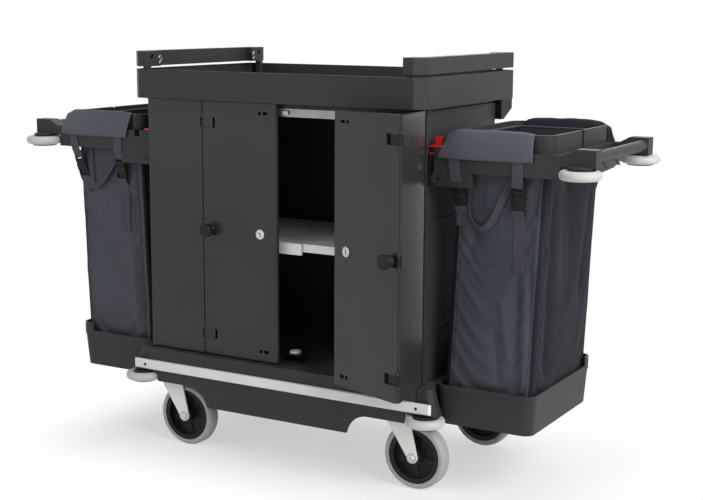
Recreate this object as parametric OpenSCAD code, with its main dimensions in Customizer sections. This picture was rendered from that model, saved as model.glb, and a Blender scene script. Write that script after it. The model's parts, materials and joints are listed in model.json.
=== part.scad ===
// Two-bag housekeeping cart: a cabinet with folding doors and an open tray on a wheeled base,
// with a fold-down bag frame and an end tray at each end.
// Millimetres, +Z up, +X along the cart, the doors face -Y, the origin is on the floor under the middle.

/* [Castors] */
// Wheel diameter over the tyre
wheel_d = 160; // [140:1:164]
// Width of the tyre
tyre_w = 38; // [30:1:40]
// Thickness of the tyre on its wheel centre
tyre_t = 14; // [8:1:16]
// Swivel axes, in from the deck's ends
swivel_in = 78; // [76:1:90]
// Swivel axes, in from the deck's sides
swivel_side = 43; // [42:1:54]
// Trail of the axle behind the swivel axis
trail = 38; // [24:1:42]
// Diameter of the axle
axle_d = 12; // [8:1:16]
// Diameter of the king pin
king_d = 14; // [10:1:18]
// Thickness of the fork's cheeks
cheek_t = 4; // [3:0.5:6]
// Width of the fork's cheeks where they leave the crown
cheek_w = 66; // [54:1:70]
// Thickness of the fork's crown
crown_t = 4; // [3:0.5:6]
// Diameter of the swivel boss
boss_d = 48; // [40:1:49]
// Thickness of the castor's top plate
plate_t = 4; // [3:0.5:6]
// Diameter of the castor's round top plate
plate_d = 56; // [50:1:57]
// Space between the tyre and the fork's crown
wheel_gap = 3; // [3:0.5:8]

/* [Base] */
// Length of the base deck
base_l = 820; // [800:1:826]
// Reach of the skirts and bumper strips past the deck's ends
skirt_past = 20; // [10:1:30]
// Width of the base between its skirts
base_w = 468; // [452:1:484]
// Height of the base from the castor plates to the deck's top
base_h = 64; // [50:1:76]
// Wall of the base moulding
base_wall = 6; // [4:0.5:8]
// Thickness of the skirts
skirt_t = 6; // [4:0.5:8]
// Depth of the skirts below the castor plates, between the wheel arches
skirt_drop = 70; // [50:1:90]
// Radius of the coves at the wheel arches
arch_r = 59; // [50:1:66]
// Height of the bumper strips
strip_h = 25; // [18:1:30]
// Thickness of the bumper strips
strip_t = 8; // [5:0.5:12]
// Height of the bumper strips above the castor plates
strip_z = 8; // [5:1:16]
// Outer diameter of the roller rings
ring_d = 94; // [88:1:96]
// Diameter of the roller rings' round section
ring_tube = 22; // [18:1:24]
// Base rings, in from the deck's ends
base_ring_in = 0; // [0:1:6]
// Base rings, in from the deck's sides
base_ring_side = 3; // [0:1:4]

/* [Cabinet] */
// Width over the closed doors
cab_w = 780; // [740:1:800]
// Front edge of the carcass, from the middle
cab_front = 199; // [190:1:205]
// Rear face of the cabinet, from the middle
cab_rear = 169; // [158:1:190]
// Thickness of the side panels
side_t = 16; // [10:1:20]
// How far the doors lap the side panels
door_lap = 2; // [1:0.5:4]
// Thickness of the back panel
back_t = 12; // [8:1:16]
// Thickness of the cabinet's top board
top_t = 11; // [8:1:16]
// How far the side panels run past the cabinet's rear
panel_past = 14; // [8:1:24]
// Radius of the side panels' outer rear edges
panel_r = 8; // [4:1:12]
// Height of the rebate along the side panels' tops
rebate_h = 3; // [2:0.5:6]
// Height of the rail over the door opening
door_rail_h = 20; // [14:1:28]
// Depth of the rail over the door opening
door_rail_w = 18; // [12:1:24]
// Height of the shelf's top above the deck
shelf_z = 302; // [240:1:360]
// Thickness of the shelf boards
shelf_t = 6; // [4:0.5:10]
// Lip of the left shelf board
lip_left = 28; // [20:1:36]
// Lip of the right shelf board
lip_right = 20; // [14:1:30]
// Where the two shelf boards meet
shelf_split = 47; // [0:1:90]

/* [Doors] */
// Height of the doors
door_h = 637; // [580:1:660]
// Thickness of the door leaves
door_t = 14; // [12:0.5:18]
// Space between the carcass and the closed doors
door_standoff = 7; // [6:0.5:10]
// Space under and over the doors
door_gap = 4; // [3.6:0.2:6]
// Width of the jamb leaf
leaf_w = 166.5; // [140:0.5:180]
// Gap at the fold
seam_gap = 3; // [2.4:0.2:4]
// Gap between the two closed doors
centre_gap = 6; // [4:1:10]
// Pivot and fold axes, behind the doors' outer face
axis_depth = 5; // [4.6:0.2:6]
// Jamb pivots, from the doors' outer edge
pivot_inset = 5; // [4:0.5:8]
// Diameter of the jamb pivots' pins
pivot_d = 5; // [4:0.5:6]
// Angle of the left door's jamb leaf
left_open = 0; // [0]
// Angle of the right door's jamb leaf
right_open = 100; // [90:1:105]
// Turn of the folding leaf for each degree of the jamb leaf
fold_ratio = 1.2; // [1.1:0.05:1.2]
// Diameter of the pull knobs
knob_d = 34; // [26:1:40]
// Height of the pull knobs
knob_h = 27; // [20:1:34]
// Diameter of the lock plugs
plug_d = 16; // [12:1:20]
// Lock plugs, from the doors' free edge
lock_inset = 48; // [40:1:70]
// Knobs, from the fold
knob_inset = 21; // [19:1:40]

/* [Top] */
// Length of the tray
tray_l = 820; // [800:1:840]
// Front of the tray, from the middle
tray_front = 262; // [240:1:280]
// Rear of the tray, from the middle
tray_rear = 260; // [230:1:280]
// Height of the tray
tray_h = 71; // [50:1:90]
// Wall of the tray
tray_wall = 5; // [3:0.5:8]
// Floor of the tray
tray_floor = 5; // [3:0.5:8]
// Gap between the cabinet and the tray
tray_gap = 4; // [4:0.2:8]
// Size of the bevel on the tray's corners
corner_cut = 26; // [14:1:36]
// Height of the end rails
rail_h = 37.5; // [26:0.5:48]
// Gap under the end rails
rail_gap = 6.5; // [4:0.5:12]
// Length of the rails' end blocks along the cart
rail_block = 52; // [40:1:64]
// Length of the rails' end blocks across the cart
rail_block_w = 57; // [44:1:70]
// Width of the rails between their end blocks
rail_w = 30; // [20:1:36]
// Diameter of the sockets in the rails' end blocks
socket_d = 12; // [8:1:16]

/* [Bag frames] */
// Top of the frames' arms, below the cabinet's top
arm_drop = 85; // [60:1:90]
// Height of the arms
arm_h = 53; // [46:1:56]
// Outer faces of the arms, out from the hoop
arm_out = 12; // [8:1:13]
// Thickness of the arms
arm_t = 22; // [16:1:24]
// Reach of the frames from the cabinet's side
frame_reach = 401; // [380:1:430]
// Space between the cabinet's side and the root blocks
root_gap = 16; // [15:0.5:20]
// Length of the root blocks
root_l = 94; // [70:1:110]
// Depth of the root blocks below the arms' top
root_h = 86; // [80:1:96]
// Step down from the arms' top to the latch seat
latch_step = 16; // [12:1:20]
// Diameter of the frames' pivot pins
frame_pin_d = 10; // [8:1:12]
// Frames' pivots, out from the cabinet's side
frame_pin_x = 26; // [25:0.5:30]
// Radius of the root blocks' round heels, about the pivots
heel_r = 17; // [14:0.5:17.5]
// Hoop, out from the cabinet's side
hoop_x = 52; // [50:1:60]
// Length of the hoop
hoop_l = 246; // [220:1:250]
// Space between a bag's mouth and the inside of its hoop
hoop_room = 8; // [7:0.5:12]
// Height of the hoop
hoop_h = 40; // [30:1:44]
// Wall of the hoop
hoop_wall = 6; // [4:0.5:8]
// Corner radius of the hoop
hoop_r = 30; // [20:1:40]
// Diameter of the end bars
bar_d = 26; // [20:1:28]
// Frame rings, in from the frames' outer end
frame_ring_in = 32; // [26:1:40]
// Frame rings, out from the arms' outer faces
frame_ring_out = 6; // [2:1:12]
// Thickness of the frames over the rings
frame_cap_t = 25; // [20:1:28]
// Rise of the frames' corners over the arms
corner_rise = 15; // [8:1:20]

/* [Bags] */
// Length of a bag at its mouth
bag_l_top = 222; // [200:1:224]
// Length of a bag at its foot
bag_l_foot = 220; // [200:1:221]
// Width of a bag at its mouth
bag_w_top = 336; // [310:1:338]
// Width of a bag at its foot
bag_w_foot = 344; // [320:1:346]
// Thickness of a bag's wall
bag_wall = 3; // [2:0.5:4]
// Length of a bag's flaps along the cart
flap_l = 206; // [170:1:208]
// Shift of the flaps along the cart, to the left in front and to the right behind
flap_shift = 23; // [0:1:24]
// Thickness of a flap
flap_t = 3; // [2:0.5:4]
// How far the flaps hang below the arms' top
flap_drop = 24; // [20:1:32]
// Width of the straps
strap_w = 26; // [20:1:34]
// Straps, from the middle of the flap
strap_x = 78; // [60:1:88]
// Lower end of the straps, below the arms' top
strap_drop = 268; // [200:1:320]

/* [End trays] */
// Reach of the end trays from the base
etray_l = 245; // [238:1:256]
// Width of the end trays at their rim
etray_w = 372; // [366:1:374]
// Height of the end trays
etray_h = 94; // [70:1:110]
// Wall of the end trays
etray_wall = 4; // [3:0.5:5]
// Draft of the end trays, from rim to foot
etray_draft = 6; // [3:0.5:8]
// Space between the tyres and the end trays
etray_gap = 5; // [4:0.5:10]
// Height of the lip on one corner of each end tray
lip_h = 22; // [12:1:30]

/* [Hidden] */
$fn = 64;
loft_fn = 32;
run_gap = 0.3;
fit_gap = 0.05;
ring_fit = 0.08;
over = 1;
ring_under = 0.5;

// Heights, from the floor up
wheel_r = wheel_d / 2;
crown_z = wheel_d + wheel_gap;
boss_z = crown_z + crown_t;
boss_h = ring_tube + ring_under + run_gap - plate_t;
plate_z = boss_z + boss_h + run_gap;
pad_z = plate_z + plate_t;
deck_z = pad_z + base_h;
door_z = deck_z + door_gap;
cab_z = door_z + door_h;
tray_z = cab_z + tray_gap;
rim_z = tray_z + tray_h;
rail_z = rim_z + rail_gap;

// Base
base_x = base_l / 2;
base_y = base_w / 2;
skirt_l = base_l + 2 * skirt_past;
skirt_x = skirt_l / 2;
swivel_x = base_x - swivel_in;
swivel_y = base_y - swivel_side;
base_ring_x = base_x - base_ring_in;
base_ring_y = base_y - base_ring_side;
deck_r = 20;
bollard_x = base_x - 5;
bollard_y = base_y - 21;
bollard_r = [36, 18];
skirt_y = base_y + skirt_t;
skirt_z = pad_z - skirt_drop;
strip_low = pad_z + strip_z;
rib_t = 4;
rib_step = 140;
ring_clear = 3;
ring_r = (ring_d - ring_tube) / 2;
ring_bore = ring_r - ring_tube / 2;
post_r = ring_bore - ring_fit;
flange_r = post_r + 6;
flange_t = 3;
base_ring_z = pad_z - ring_tube / 2 - ring_under;
pad_w = 86;
arch_clear = 1.5;
arch_z = boss_z + arch_clear;
arch_x = swivel_x - 70;
strip_bevel = strip_t;

// Cabinet
door_x = cab_w / 2;
wall_x = door_x - door_lap;
inner_x = wall_x - side_t;
door_in = -cab_front - door_standoff;
door_out = door_in - door_t;
axis_y = door_out + axis_depth;
pivot_x = door_x - pivot_inset;
leaf_end = door_x - leaf_w;
seam_x = leaf_end - seam_gap / 2;
fold_start = leaf_end - seam_gap;
free_x = centre_gap / 2;
roof_z = cab_z - top_t;
shelf_top = deck_z + shelf_z;
shelf_front_left = -cab_front + 11;
shelf_front_right = -cab_front + 17;
shelf_slit = 1;
back_recess = 3;
back_frame = 40;
panel_rear = cab_rear + panel_past;
rebate_in = 6;
groove_h = 4;
groove_depth = 2;
groove_inset = 24;
groove_low = 121;
groove_high = 385;
groove_zs = [deck_z + groove_low, deck_z + groove_high];

// Doors
leaf_top = cab_z - run_gap;
leaf_edge = 1.5;
mitre_in = 17;
mitre_lip = 0.6;
pocket_depth = 6;
pocket_rib = 16;
pocket_rows = 4;
hinge_h = 24;
eye_h = 8;
eye_r = 4;
hinge_pin_r = 1.75;
hinge_plate_l = 28;
hinge_plate_t = 3;
hinge_window = 9;
hinge_inset = 52;
hinge_zs = [door_z + hinge_inset, door_z + door_h / 2, cab_z - hinge_inset];
slot_h = 8;
slot_inset = 20;
slot_small = 8;
slot_large = 14;
slot_x = 26;
slot_space = 5;
lock_z = door_z + door_h / 2;
cam_l = 34;
cam_w = 14;
cam_t = 3;
plug_proud = 3;
cup_r = plug_d / 2 + 4;
cup_t = 2;
pivot_plate_t = door_gap - 2 * run_gap;
pivot_plate_w = 16;
pivot_len = 12;

// Top
tray_x = tray_l / 2;
rear_step_y = 100;
rear_step = 8;
post_w = 14;
foot_r = 12;
foot_x = inner_x - foot_r;
foot_ys = [-cab_front + 40, cab_rear - 40];
socket_depth = 24;
gusset_t = 26;
gusset_x = tray_x - rear_step;
gusset_reach = tray_rear - panel_rear - 12;
gusset_drop = 49;
gusset_tip = 24;
gusset_foot = 16;
post_sink = 2;

// Bag frames
arm_z = cab_z - arm_drop;
arm_low = arm_z - arm_h;
hoop_y = bag_w_top / 2 + hoop_room + hoop_wall;
arm_y = hoop_y + arm_out;
arm_in = arm_y - arm_t;
frame_ring_y = arm_y + frame_ring_out;
root_x = wall_x + root_gap;
root_z = arm_z - root_h;
seat_z = arm_z - latch_step;
seat_l = 52;
seat_end = root_x + seat_l;
hinge_x = wall_x + frame_pin_x;
hinge_z = root_z + heel_r;
end_x = wall_x + frame_reach;
hoop_x0 = wall_x + hoop_x;
hoop_x1 = hoop_x0 + hoop_l;
hoop_slot = 14;
cross_h = 30;
cross_back = 20;
cross_lap = 10;
frame_ring_x = end_x - frame_ring_in;
cap_z = arm_z - frame_cap_t;
frame_ring_z = cap_z - ring_clear - ring_tube / 2;
cap_r = post_r + 2;
cap_t = 3;
corner_l = 46;
corner_w = 34;
corner_z = arm_z + corner_rise;
ramp_l = corner_l + 2 * corner_rise;
bar_x = end_x - bar_d / 2 - 2;
bar_z = corner_z - bar_d / 2 - 6;
lug_t = 12;
lug_h = 28;
bracket_t = 8;
tongue_t = 4.7;
tongue_w = 14;
tongue_x = wall_x + 3;
tongue_l = 49;
tab_in = 11;
tab_l = 16;
tab_h = 37;
guide_in = 28;
guide_l = 6;
guide_wall = 3;

// Bags and end trays
bag_x = (hoop_x0 + hoop_x1) / 2;
etray_z = wheel_d + etray_gap;
etray_x0 = base_x + 2;
etray_x1 = etray_x0 + etray_l;
etray_y = etray_w / 2;
etray_r = 24;
etray_floor = 5;
lip_l = 40;
flap_in = 5;
bag_foot_x = (etray_x0 + etray_x1) / 2;
bag_foot_z = etray_z + etray_floor + run_gap;
bag_top_z = arm_z + hoop_h - 4;
bag_r = 26;
strap_z = arm_z - strap_drop;
buckle_h = 40;
buckle_w = 34;
buckle_t = 8;
buckle_top = root_z - 2 * run_gap;

function bag_half(z) =
    (bag_w_foot + (bag_w_top - bag_w_foot) * (z - bag_foot_z) / (bag_top_z - bag_foot_z)) / 2;

body_grey = [0.23, 0.235, 0.235];
light_grey = [0.88, 0.88, 0.87];
fork_cream = [0.88, 0.87, 0.85];
tyre_grey = [0.74, 0.74, 0.73];
soft_black = [0.1, 0.1, 0.1];
latch_red = [0.86, 0.08, 0.06];
bag_slate = [0.29, 0.3, 0.35];
steel = [0.7, 0.7, 0.7];

// Helpers

// A box given by its limits on each axis
module box(x, y, z) {
    translate([x[0], y[0], z[0]])
        cube([x[1] - x[0], y[1] - y[0], z[1] - z[0]]);
}

// Children built for the right end of the cart, mirrored to the left end where side is -1
module on_side(side) {
    if (side < 0)
        mirror([1, 0, 0]) children();
    else
        children();
}

// Children built for the rear, mirrored to the front where face is -1
module on_face(face) {
    if (face < 0)
        mirror([0, 1, 0]) children();
    else
        children();
}

module front_and_rear() {
    for (face = [-1, 1])
        on_face(face) children();
}

// A rectangle with round corners
module round_rect(x, y, r) {
    translate([x[0] + r, y[0]])
        square([x[1] - x[0] - 2 * r, y[1] - y[0]]);
    translate([x[0], y[0] + r])
        square([x[1] - x[0], y[1] - y[0] - 2 * r]);
    for (cx = [x[0] + r, x[1] - r], cy = [y[0] + r, y[1] - r])
        translate([cx, cy]) circle(r);
}

// A profile drawn in X and Z, swept along Y
module sweep_y(y) {
    translate([0, y[1], 0])
        rotate([90, 0, 0])
            linear_extrude(y[1] - y[0]) children();
}

// A profile drawn in Y and Z, swept along X
module sweep_x(x) {
    translate([x[0], 0, 0])
        rotate([90, 0, 90])
            linear_extrude(x[1] - x[0]) children();
}

// A profile drawn in X and Y, swept along Z
module sweep_z(z) {
    translate([0, 0, z[0]])
        linear_extrude(z[1] - z[0]) children();
}

// A cylinder along Z between two heights
module rod(r, z) {
    translate([0, 0, z[0]])
        cylinder(h = z[1] - z[0], r = r);
}

// A cylinder along Y between two places
module rod_y(r, y) {
    translate([0, y[1], 0])
        rotate([90, 0, 0])
            cylinder(h = y[1] - y[0], r = r);
}

// Base

// Post that a roller ring turns on, with the flange that keeps the ring up
module ring_post(ring_z, top) {
    rod(post_r, [ring_z - ring_tube / 2 - run_gap - flange_t, top]);
    rod(flange_r, [ring_z - ring_tube / 2 - run_gap - flange_t, ring_z - ring_tube / 2 - run_gap]);
}

// Tapered bollard on a corner of the deck, behind the skirt
module bollard(sx, sy) {
    intersection() {
        translate([sx * bollard_x, sy * bollard_y, pad_z])
            cylinder(h = base_h, r1 = bollard_r[0], r2 = bollard_r[1]);
        box([-base_l, base_l], [-base_y, base_y], [pad_z, deck_z]);
    }
}

module base_deck() {
    color(body_grey)
        union() {
            difference() {
                sweep_z([pad_z, deck_z])
                    round_rect([-base_x, base_x], [-base_y, base_y], deck_r);
                sweep_z([pad_z - over, deck_z - base_wall])
                    round_rect([-base_x + base_wall, base_x - base_wall],
                        [-base_y + base_wall, base_y - base_wall], deck_r - base_wall);
            }
            for (x = [-rib_step * 2 : rib_step : rib_step * 2])
                box([x - rib_t / 2, x + rib_t / 2], [-base_y + over, base_y - over], [pad_z, deck_z - over]);
            for (y = [-rib_step / 2, rib_step / 2])
                box([-base_x + over, base_x - over], [y - rib_t / 2, y + rib_t / 2], [pad_z, deck_z - over]);
            for (sx = [-1, 1], sy = [-1, 1]) {
                translate([sx * swivel_x, sy * swivel_y, 0])
                    intersection() {
                        box([-pad_w / 2, pad_w / 2], [-pad_w / 2, pad_w / 2], [pad_z, deck_z - over]);
                        box([-pad_w, pad_w], [sy > 0 ? -pad_w : -base_y + swivel_y,
                            sy > 0 ? base_y - swivel_y : pad_w], [pad_z, deck_z]);
                    }
                bollard(sx, sy);
            }
        }
}

// Posts under the deck's corners that the base rings turn on
module ring_posts() {
    color(body_grey)
        for (sx = [-1, 1], sy = [-1, 1])
            translate([sx * base_ring_x, sy * base_ring_y, 0])
                ring_post(base_ring_z, pad_z);
}

// Both ends of a skirt's outline from a distance off the middle, between two heights
module skirt_ends(x, z) {
    for (left = [-skirt_x - over, x])
        translate([left, z[0]])
            square([skirt_x + over - x, z[1] - z[0]]);
}

// A skirt with coved wheel arches, cut clear of the rings below and of the bollards above its strip
module skirt() {
    sweep_y([base_y, skirt_y])
        difference() {
            translate([-skirt_x, skirt_z])
                square([skirt_l, deck_z - skirt_z]);
            for (x = [-arch_x, arch_x])
                translate([x, arch_z - arch_r]) circle(arch_r);
            skirt_ends(arch_x, [skirt_z - over, arch_z]);
            skirt_ends(base_ring_x - ring_d / 2 - ring_clear, [skirt_z - over, pad_z + ring_clear]);
            skirt_ends(bollard_x - bollard_r[1], [strip_low + strip_h, deck_z + over]);
        }
}

module base_skirts() {
    color(body_grey)
        front_and_rear() skirt();
}

module bumper_strip() {
    intersection() {
        sweep_z([strip_low, strip_low + strip_h])
            polygon([
                [-skirt_x, skirt_y], [skirt_x, skirt_y], [skirt_x, skirt_y + strip_t - strip_bevel / 2],
                [skirt_x - strip_bevel / 2, skirt_y + strip_t],
                [-skirt_x + strip_bevel / 2, skirt_y + strip_t],
                [-skirt_x, skirt_y + strip_t - strip_bevel / 2]
            ]);
        sweep_x([-skirt_x - over, skirt_x + over])
            round_rect([skirt_y - strip_t, skirt_y + strip_t], [strip_low, strip_low + strip_h], strip_t / 2);
    }
}

module bumper_strips() {
    color(light_grey)
        front_and_rear() bumper_strip();
}

module roller_ring(at) {
    color(light_grey)
        translate(at)
            rotate_extrude() translate([ring_r, 0]) circle(ring_tube / 2);
}

module base_ring(sx, sy) {
    roller_ring([sx * base_ring_x, sy * base_ring_y, base_ring_z]);
}

// Castors

module at_castor(sx, sy) {
    translate([sx * swivel_x, sy * swivel_y, 0]) children();
}

module castor_plates() {
    color(steel)
        for (sx = [-1, 1], sy = [-1, 1])
            at_castor(sx, sy) {
                rod(plate_d / 2, [plate_z, pad_z]);
                rod(king_d / 2, [boss_z + over, plate_z + over]);
            }
}

fork_in = tyre_w / 2 + 4;
fork_out = fork_in + cheek_t;
axle_pad_r = axle_d / 2 + 8;

module fork(sx, sy) {
    color(fork_cream)
        at_castor(sx, sy) {
            difference() {
                union() {
                    box([-cheek_w / 2, cheek_w / 2], [-fork_out, fork_out], [crown_z, boss_z]);
                    rod(boss_d / 2, [boss_z - over, boss_z + boss_h]);
                }
                rod(king_d / 2 + fit_gap, [crown_z - over, boss_z + boss_h + over]);
            }
            for (y = [[-fork_out, -fork_in], [fork_in, fork_out]])
                sweep_y(y)
                    union() {
                        polygon([
                            [-cheek_w / 2, boss_z], [cheek_w / 2, boss_z],
                            [trail + axle_pad_r, wheel_r], [trail - axle_pad_r, wheel_r]
                        ]);
                        translate([trail, wheel_r]) circle(axle_pad_r);
                    }
            translate([trail, 0, wheel_r])
                rod_y(axle_d / 2, [-fork_out - cheek_t, fork_out + cheek_t]);
        }
}

rim_r = wheel_r - tyre_t;
rim_in = rim_r - 12;
hub_r = axle_d / 2 + 13;
wheel_web = 10;
web_t = 3;
rim_w = tyre_w - 4;
hub_w = 2 * fork_in - 2 * run_gap;
spokes = 5;
spoke_arc = 46;

module wheel(sx, sy) {
    color(soft_black)
        at_castor(sx, sy)
            translate([trail, 0, wheel_r])
                rotate([90, 0, 0])
                    difference() {
                        union() {
                            cylinder(h = wheel_web, r = rim_r - over, center = true);
                            cylinder(h = hub_w, r = hub_r, center = true);
                            difference() {
                                cylinder(h = rim_w, r = rim_r, center = true);
                                cylinder(h = rim_w + over, r = rim_in, center = true);
                            }
                        }
                        cylinder(h = hub_w + over, r = axle_d / 2 + fit_gap, center = true);
                        for (i = [0 : spokes - 1], face = [0, 180])
                            rotate([face, 0, 90 + i * 360 / spokes])
                                translate([0, 0, web_t / 2])
                                    linear_extrude(wheel_web) spoke_pocket();
                    }
}

// Pocket between two spokes, down to the web: a trapezoid between the hub and the rim
module spoke_pocket() {
    inner = hub_r + 6;
    outer = rim_in - 6;
    half = spoke_arc / 2;
    polygon([
        [inner * cos(half), -inner * sin(half)], [outer * cos(half), -outer * sin(half)],
        [outer, -outer * sin(half) / 3], [outer, outer * sin(half) / 3],
        [outer * cos(half), outer * sin(half)], [inner * cos(half), inner * sin(half)]
    ]);
}

tread_crown = 3;

module tyre(sx, sy) {
    color(tyre_grey)
        at_castor(sx, sy)
            translate([trail, 0, wheel_r])
                rotate([90, 0, 0])
                    rotate_extrude()
                        polygon([
                            [rim_r + fit_gap, -tyre_w / 2], [wheel_r - 2 * tread_crown, -tyre_w / 2],
                            [wheel_r - tread_crown, -tyre_w / 2 + tread_crown],
                            [wheel_r, -tyre_w / 2 + 3 * tread_crown], [wheel_r, tyre_w / 2 - 3 * tread_crown],
                            [wheel_r - tread_crown, tyre_w / 2 - tread_crown],
                            [wheel_r - 2 * tread_crown, tyre_w / 2], [rim_r + fit_gap, tyre_w / 2]
                        ]);
}

// Cabinet

// Plan of a side panel, with a round outer rear edge
module panel_plan() {
    length = cab_front + panel_rear;
    translate([inner_x, -cab_front]) {
        square([side_t, length - panel_r]);
        square([side_t - panel_r, length]);
    }
    translate([wall_x - panel_r, panel_rear - panel_r]) circle(panel_r);
}

module side_panel(side) {
    color(body_grey)
        on_side(side)
            difference() {
                sweep_z([deck_z, cab_z]) panel_plan();
                for (z = groove_zs)
                    box([wall_x - groove_depth, wall_x + over],
                        [-cab_front + groove_inset, cab_rear - groove_inset], [z, z + groove_h]);
                box([wall_x - rebate_in, wall_x + over], [-cab_front + groove_inset, panel_rear + over],
                    [cab_z - rebate_h, cab_z + over]);
            }
}

module back_panel() {
    color(body_grey)
        difference() {
            box([-inner_x, inner_x], [cab_rear - back_t, cab_rear], [deck_z, roof_z]);
            for (sx = [-1, 1])
                on_side(sx)
                    box([back_frame / 2, inner_x - back_frame], [cab_rear - back_recess, cab_rear + over],
                        [deck_z + back_frame, roof_z - back_frame]);
        }
}

module cabinet_top() {
    color(body_grey)
        box([-inner_x, inner_x], [-cab_front, cab_rear], [roof_z, cab_z]);
}

module door_rail() {
    color([0.6, 0.6, 0.6])
        difference() {
            box([-inner_x, inner_x], [-cab_front, -cab_front + door_rail_w], [roof_z - door_rail_h, roof_z]);
            box([-inner_x - over, inner_x + over],
                [-cab_front + rib_t, -cab_front + door_rail_w + over],
                [roof_z - door_rail_h + rib_t, roof_z - rib_t]);
        }
}

catch_left = 10;
catch_w = 48;
catch_back = 16;
catch_l = 36;
catch_x = [-catch_left, catch_w - catch_left];
catch_y = [-cab_front + catch_back, -cab_front + catch_back + catch_l];
catch_h = 22;
cap_d = 18;
keeper_left = 2;
keeper_w = 18;
keeper_x = [keeper_left, keeper_left + keeper_w];

module door_catches() {
    color(soft_black)
        difference() {
            box(catch_x, catch_y, [deck_z, deck_z + catch_h]);
            box([catch_x[0] + rib_t, catch_x[1] + over], [catch_y[0] - over, catch_y[1] - rib_t],
                [deck_z + rib_t, deck_z + catch_h - rib_t]);
        }
    color(light_grey) {
        translate([(catch_x[0] + catch_x[1]) / 2, (catch_y[0] + catch_y[1]) / 2, 0])
            rod(cap_d / 2, [deck_z + catch_h, deck_z + catch_h + rib_t]);
        box(keeper_x, [-cab_front - rib_t, -cab_front],
            [roof_z - door_rail_h * 0.7, roof_z - door_rail_h * 0.25]);
    }
}

module shelf_board(x, front, lip) {
    box(x, [front, cab_rear - back_t], [shelf_top - shelf_t, shelf_top]);
    box(x, [front, front + shelf_t], [shelf_top - lip, shelf_top]);
    box(x, [cab_rear - back_t - shelf_t, cab_rear - back_t], [shelf_top - lip_right, shelf_top]);
}

module shelves() {
    color(light_grey) {
        shelf_board([-inner_x, shelf_split - shelf_slit / 2], shelf_front_left, lip_left);
        shelf_board([shelf_split + shelf_slit / 2, inner_x], shelf_front_right, lip_right);
    }
}

// Doors

// Plates on the deck and the cabinet top, with the pins that the jamb leaves turn on
module jamb_pivots() {
    plate_x = [pivot_x - pivot_plate_w / 2, wall_x];
    color(steel)
        for (side = [-1, 1])
            on_side(side) {
                box(plate_x, [axis_y - pivot_plate_w / 2, -cab_front + pivot_plate_w],
                    [cab_z, cab_z + run_gap + pivot_plate_t]);
                box(plate_x, [axis_y - pivot_plate_w / 2, -cab_front - run_gap],
                    [deck_z, deck_z + run_gap + pivot_plate_t]);
                translate([pivot_x, axis_y, 0]) {
                    rod(pivot_d / 2, [cab_z - pivot_len, cab_z + over]);
                    rod(pivot_d / 2, [deck_z + over, door_z + pivot_len]);
                }
            }
}

// Children built for the closed right door, swung about the jamb pivots
module swing(side, angle) {
    translate([side * pivot_x, axis_y, 0])
        rotate([0, 0, side * angle])
            translate([-side * pivot_x, -axis_y, 0])
                on_side(side) children();
}

// Children built for the closed right door, swung and then folded about the seam
module swing_and_fold(side, angle) {
    swing(side, angle)
        translate([seam_x, axis_y, 0])
            rotate([0, 0, -fold_ratio * angle])
                translate([-seam_x, -axis_y, 0]) children();
}

function door_angle(side) = side < 0 ? left_open : right_open;

// Shallow pockets in a leaf's inner face, between ribs
module leaf_pockets(x) {
    row = (door_h - pocket_rib) / pocket_rows;
    for (i = [0 : pocket_rows - 1])
        box(x, [door_in - pocket_depth, door_in + over],
            [door_z + pocket_rib + i * row, door_z + (i + 1) * row]);
}

// Pin, barrel and eye room at the fold, all round the seam axis
module seam_room(h) {
    translate([seam_x, axis_y, 0])
        rod(eye_r + run_gap, h);
}

module jamb_leaf(side) {
    color(body_grey)
        swing(side, door_angle(side))
            difference() {
                union() {
                    difference() {
                        sweep_z([door_z, leaf_top])
                            polygon([
                                [leaf_end, door_out], [door_x - leaf_edge, door_out],
                                [door_x, door_out + leaf_edge], [door_x, door_in],
                                [leaf_end + mitre_in, door_in], [leaf_end, axis_y + mitre_lip]
                            ]);
                        leaf_pockets([leaf_end + 2 * mitre_in, door_x - pocket_rib]);
                        for (z = hinge_zs)
                            box([leaf_end - over, leaf_end + eye_r], [door_out - over, door_in + over],
                                [z - hinge_h / 2 - run_gap, z + hinge_h / 2 + run_gap]);
                    }
                    for (z = hinge_zs, s = [-1, 1])
                        hinge_eye(z + s * (hinge_h / 2 + run_gap + eye_h / 2));
                }
                for (z = hinge_zs)
                    translate([seam_x, axis_y, 0])
                        rod(hinge_pin_r + fit_gap, [z - hinge_h, z + hinge_h]);
                translate([pivot_x, axis_y, 0]) {
                    rod(pivot_d / 2 + fit_gap, [cab_z - pivot_len - over, cab_z + over]);
                    rod(pivot_d / 2 + fit_gap, [door_z - over, door_z + pivot_len + over]);
                }
            }
}

// Eye of the jamb leaf round a hinge pin, with its root in the leaf
module hinge_eye(z) {
    translate([seam_x, axis_y, 0])
        rod(eye_r, [z - eye_h / 2, z + eye_h / 2]);
    box([seam_x, leaf_end + over], [axis_y - eye_r + over, axis_y + mitre_lip],
        [z - eye_h / 2, z + eye_h / 2]);
}

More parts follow.
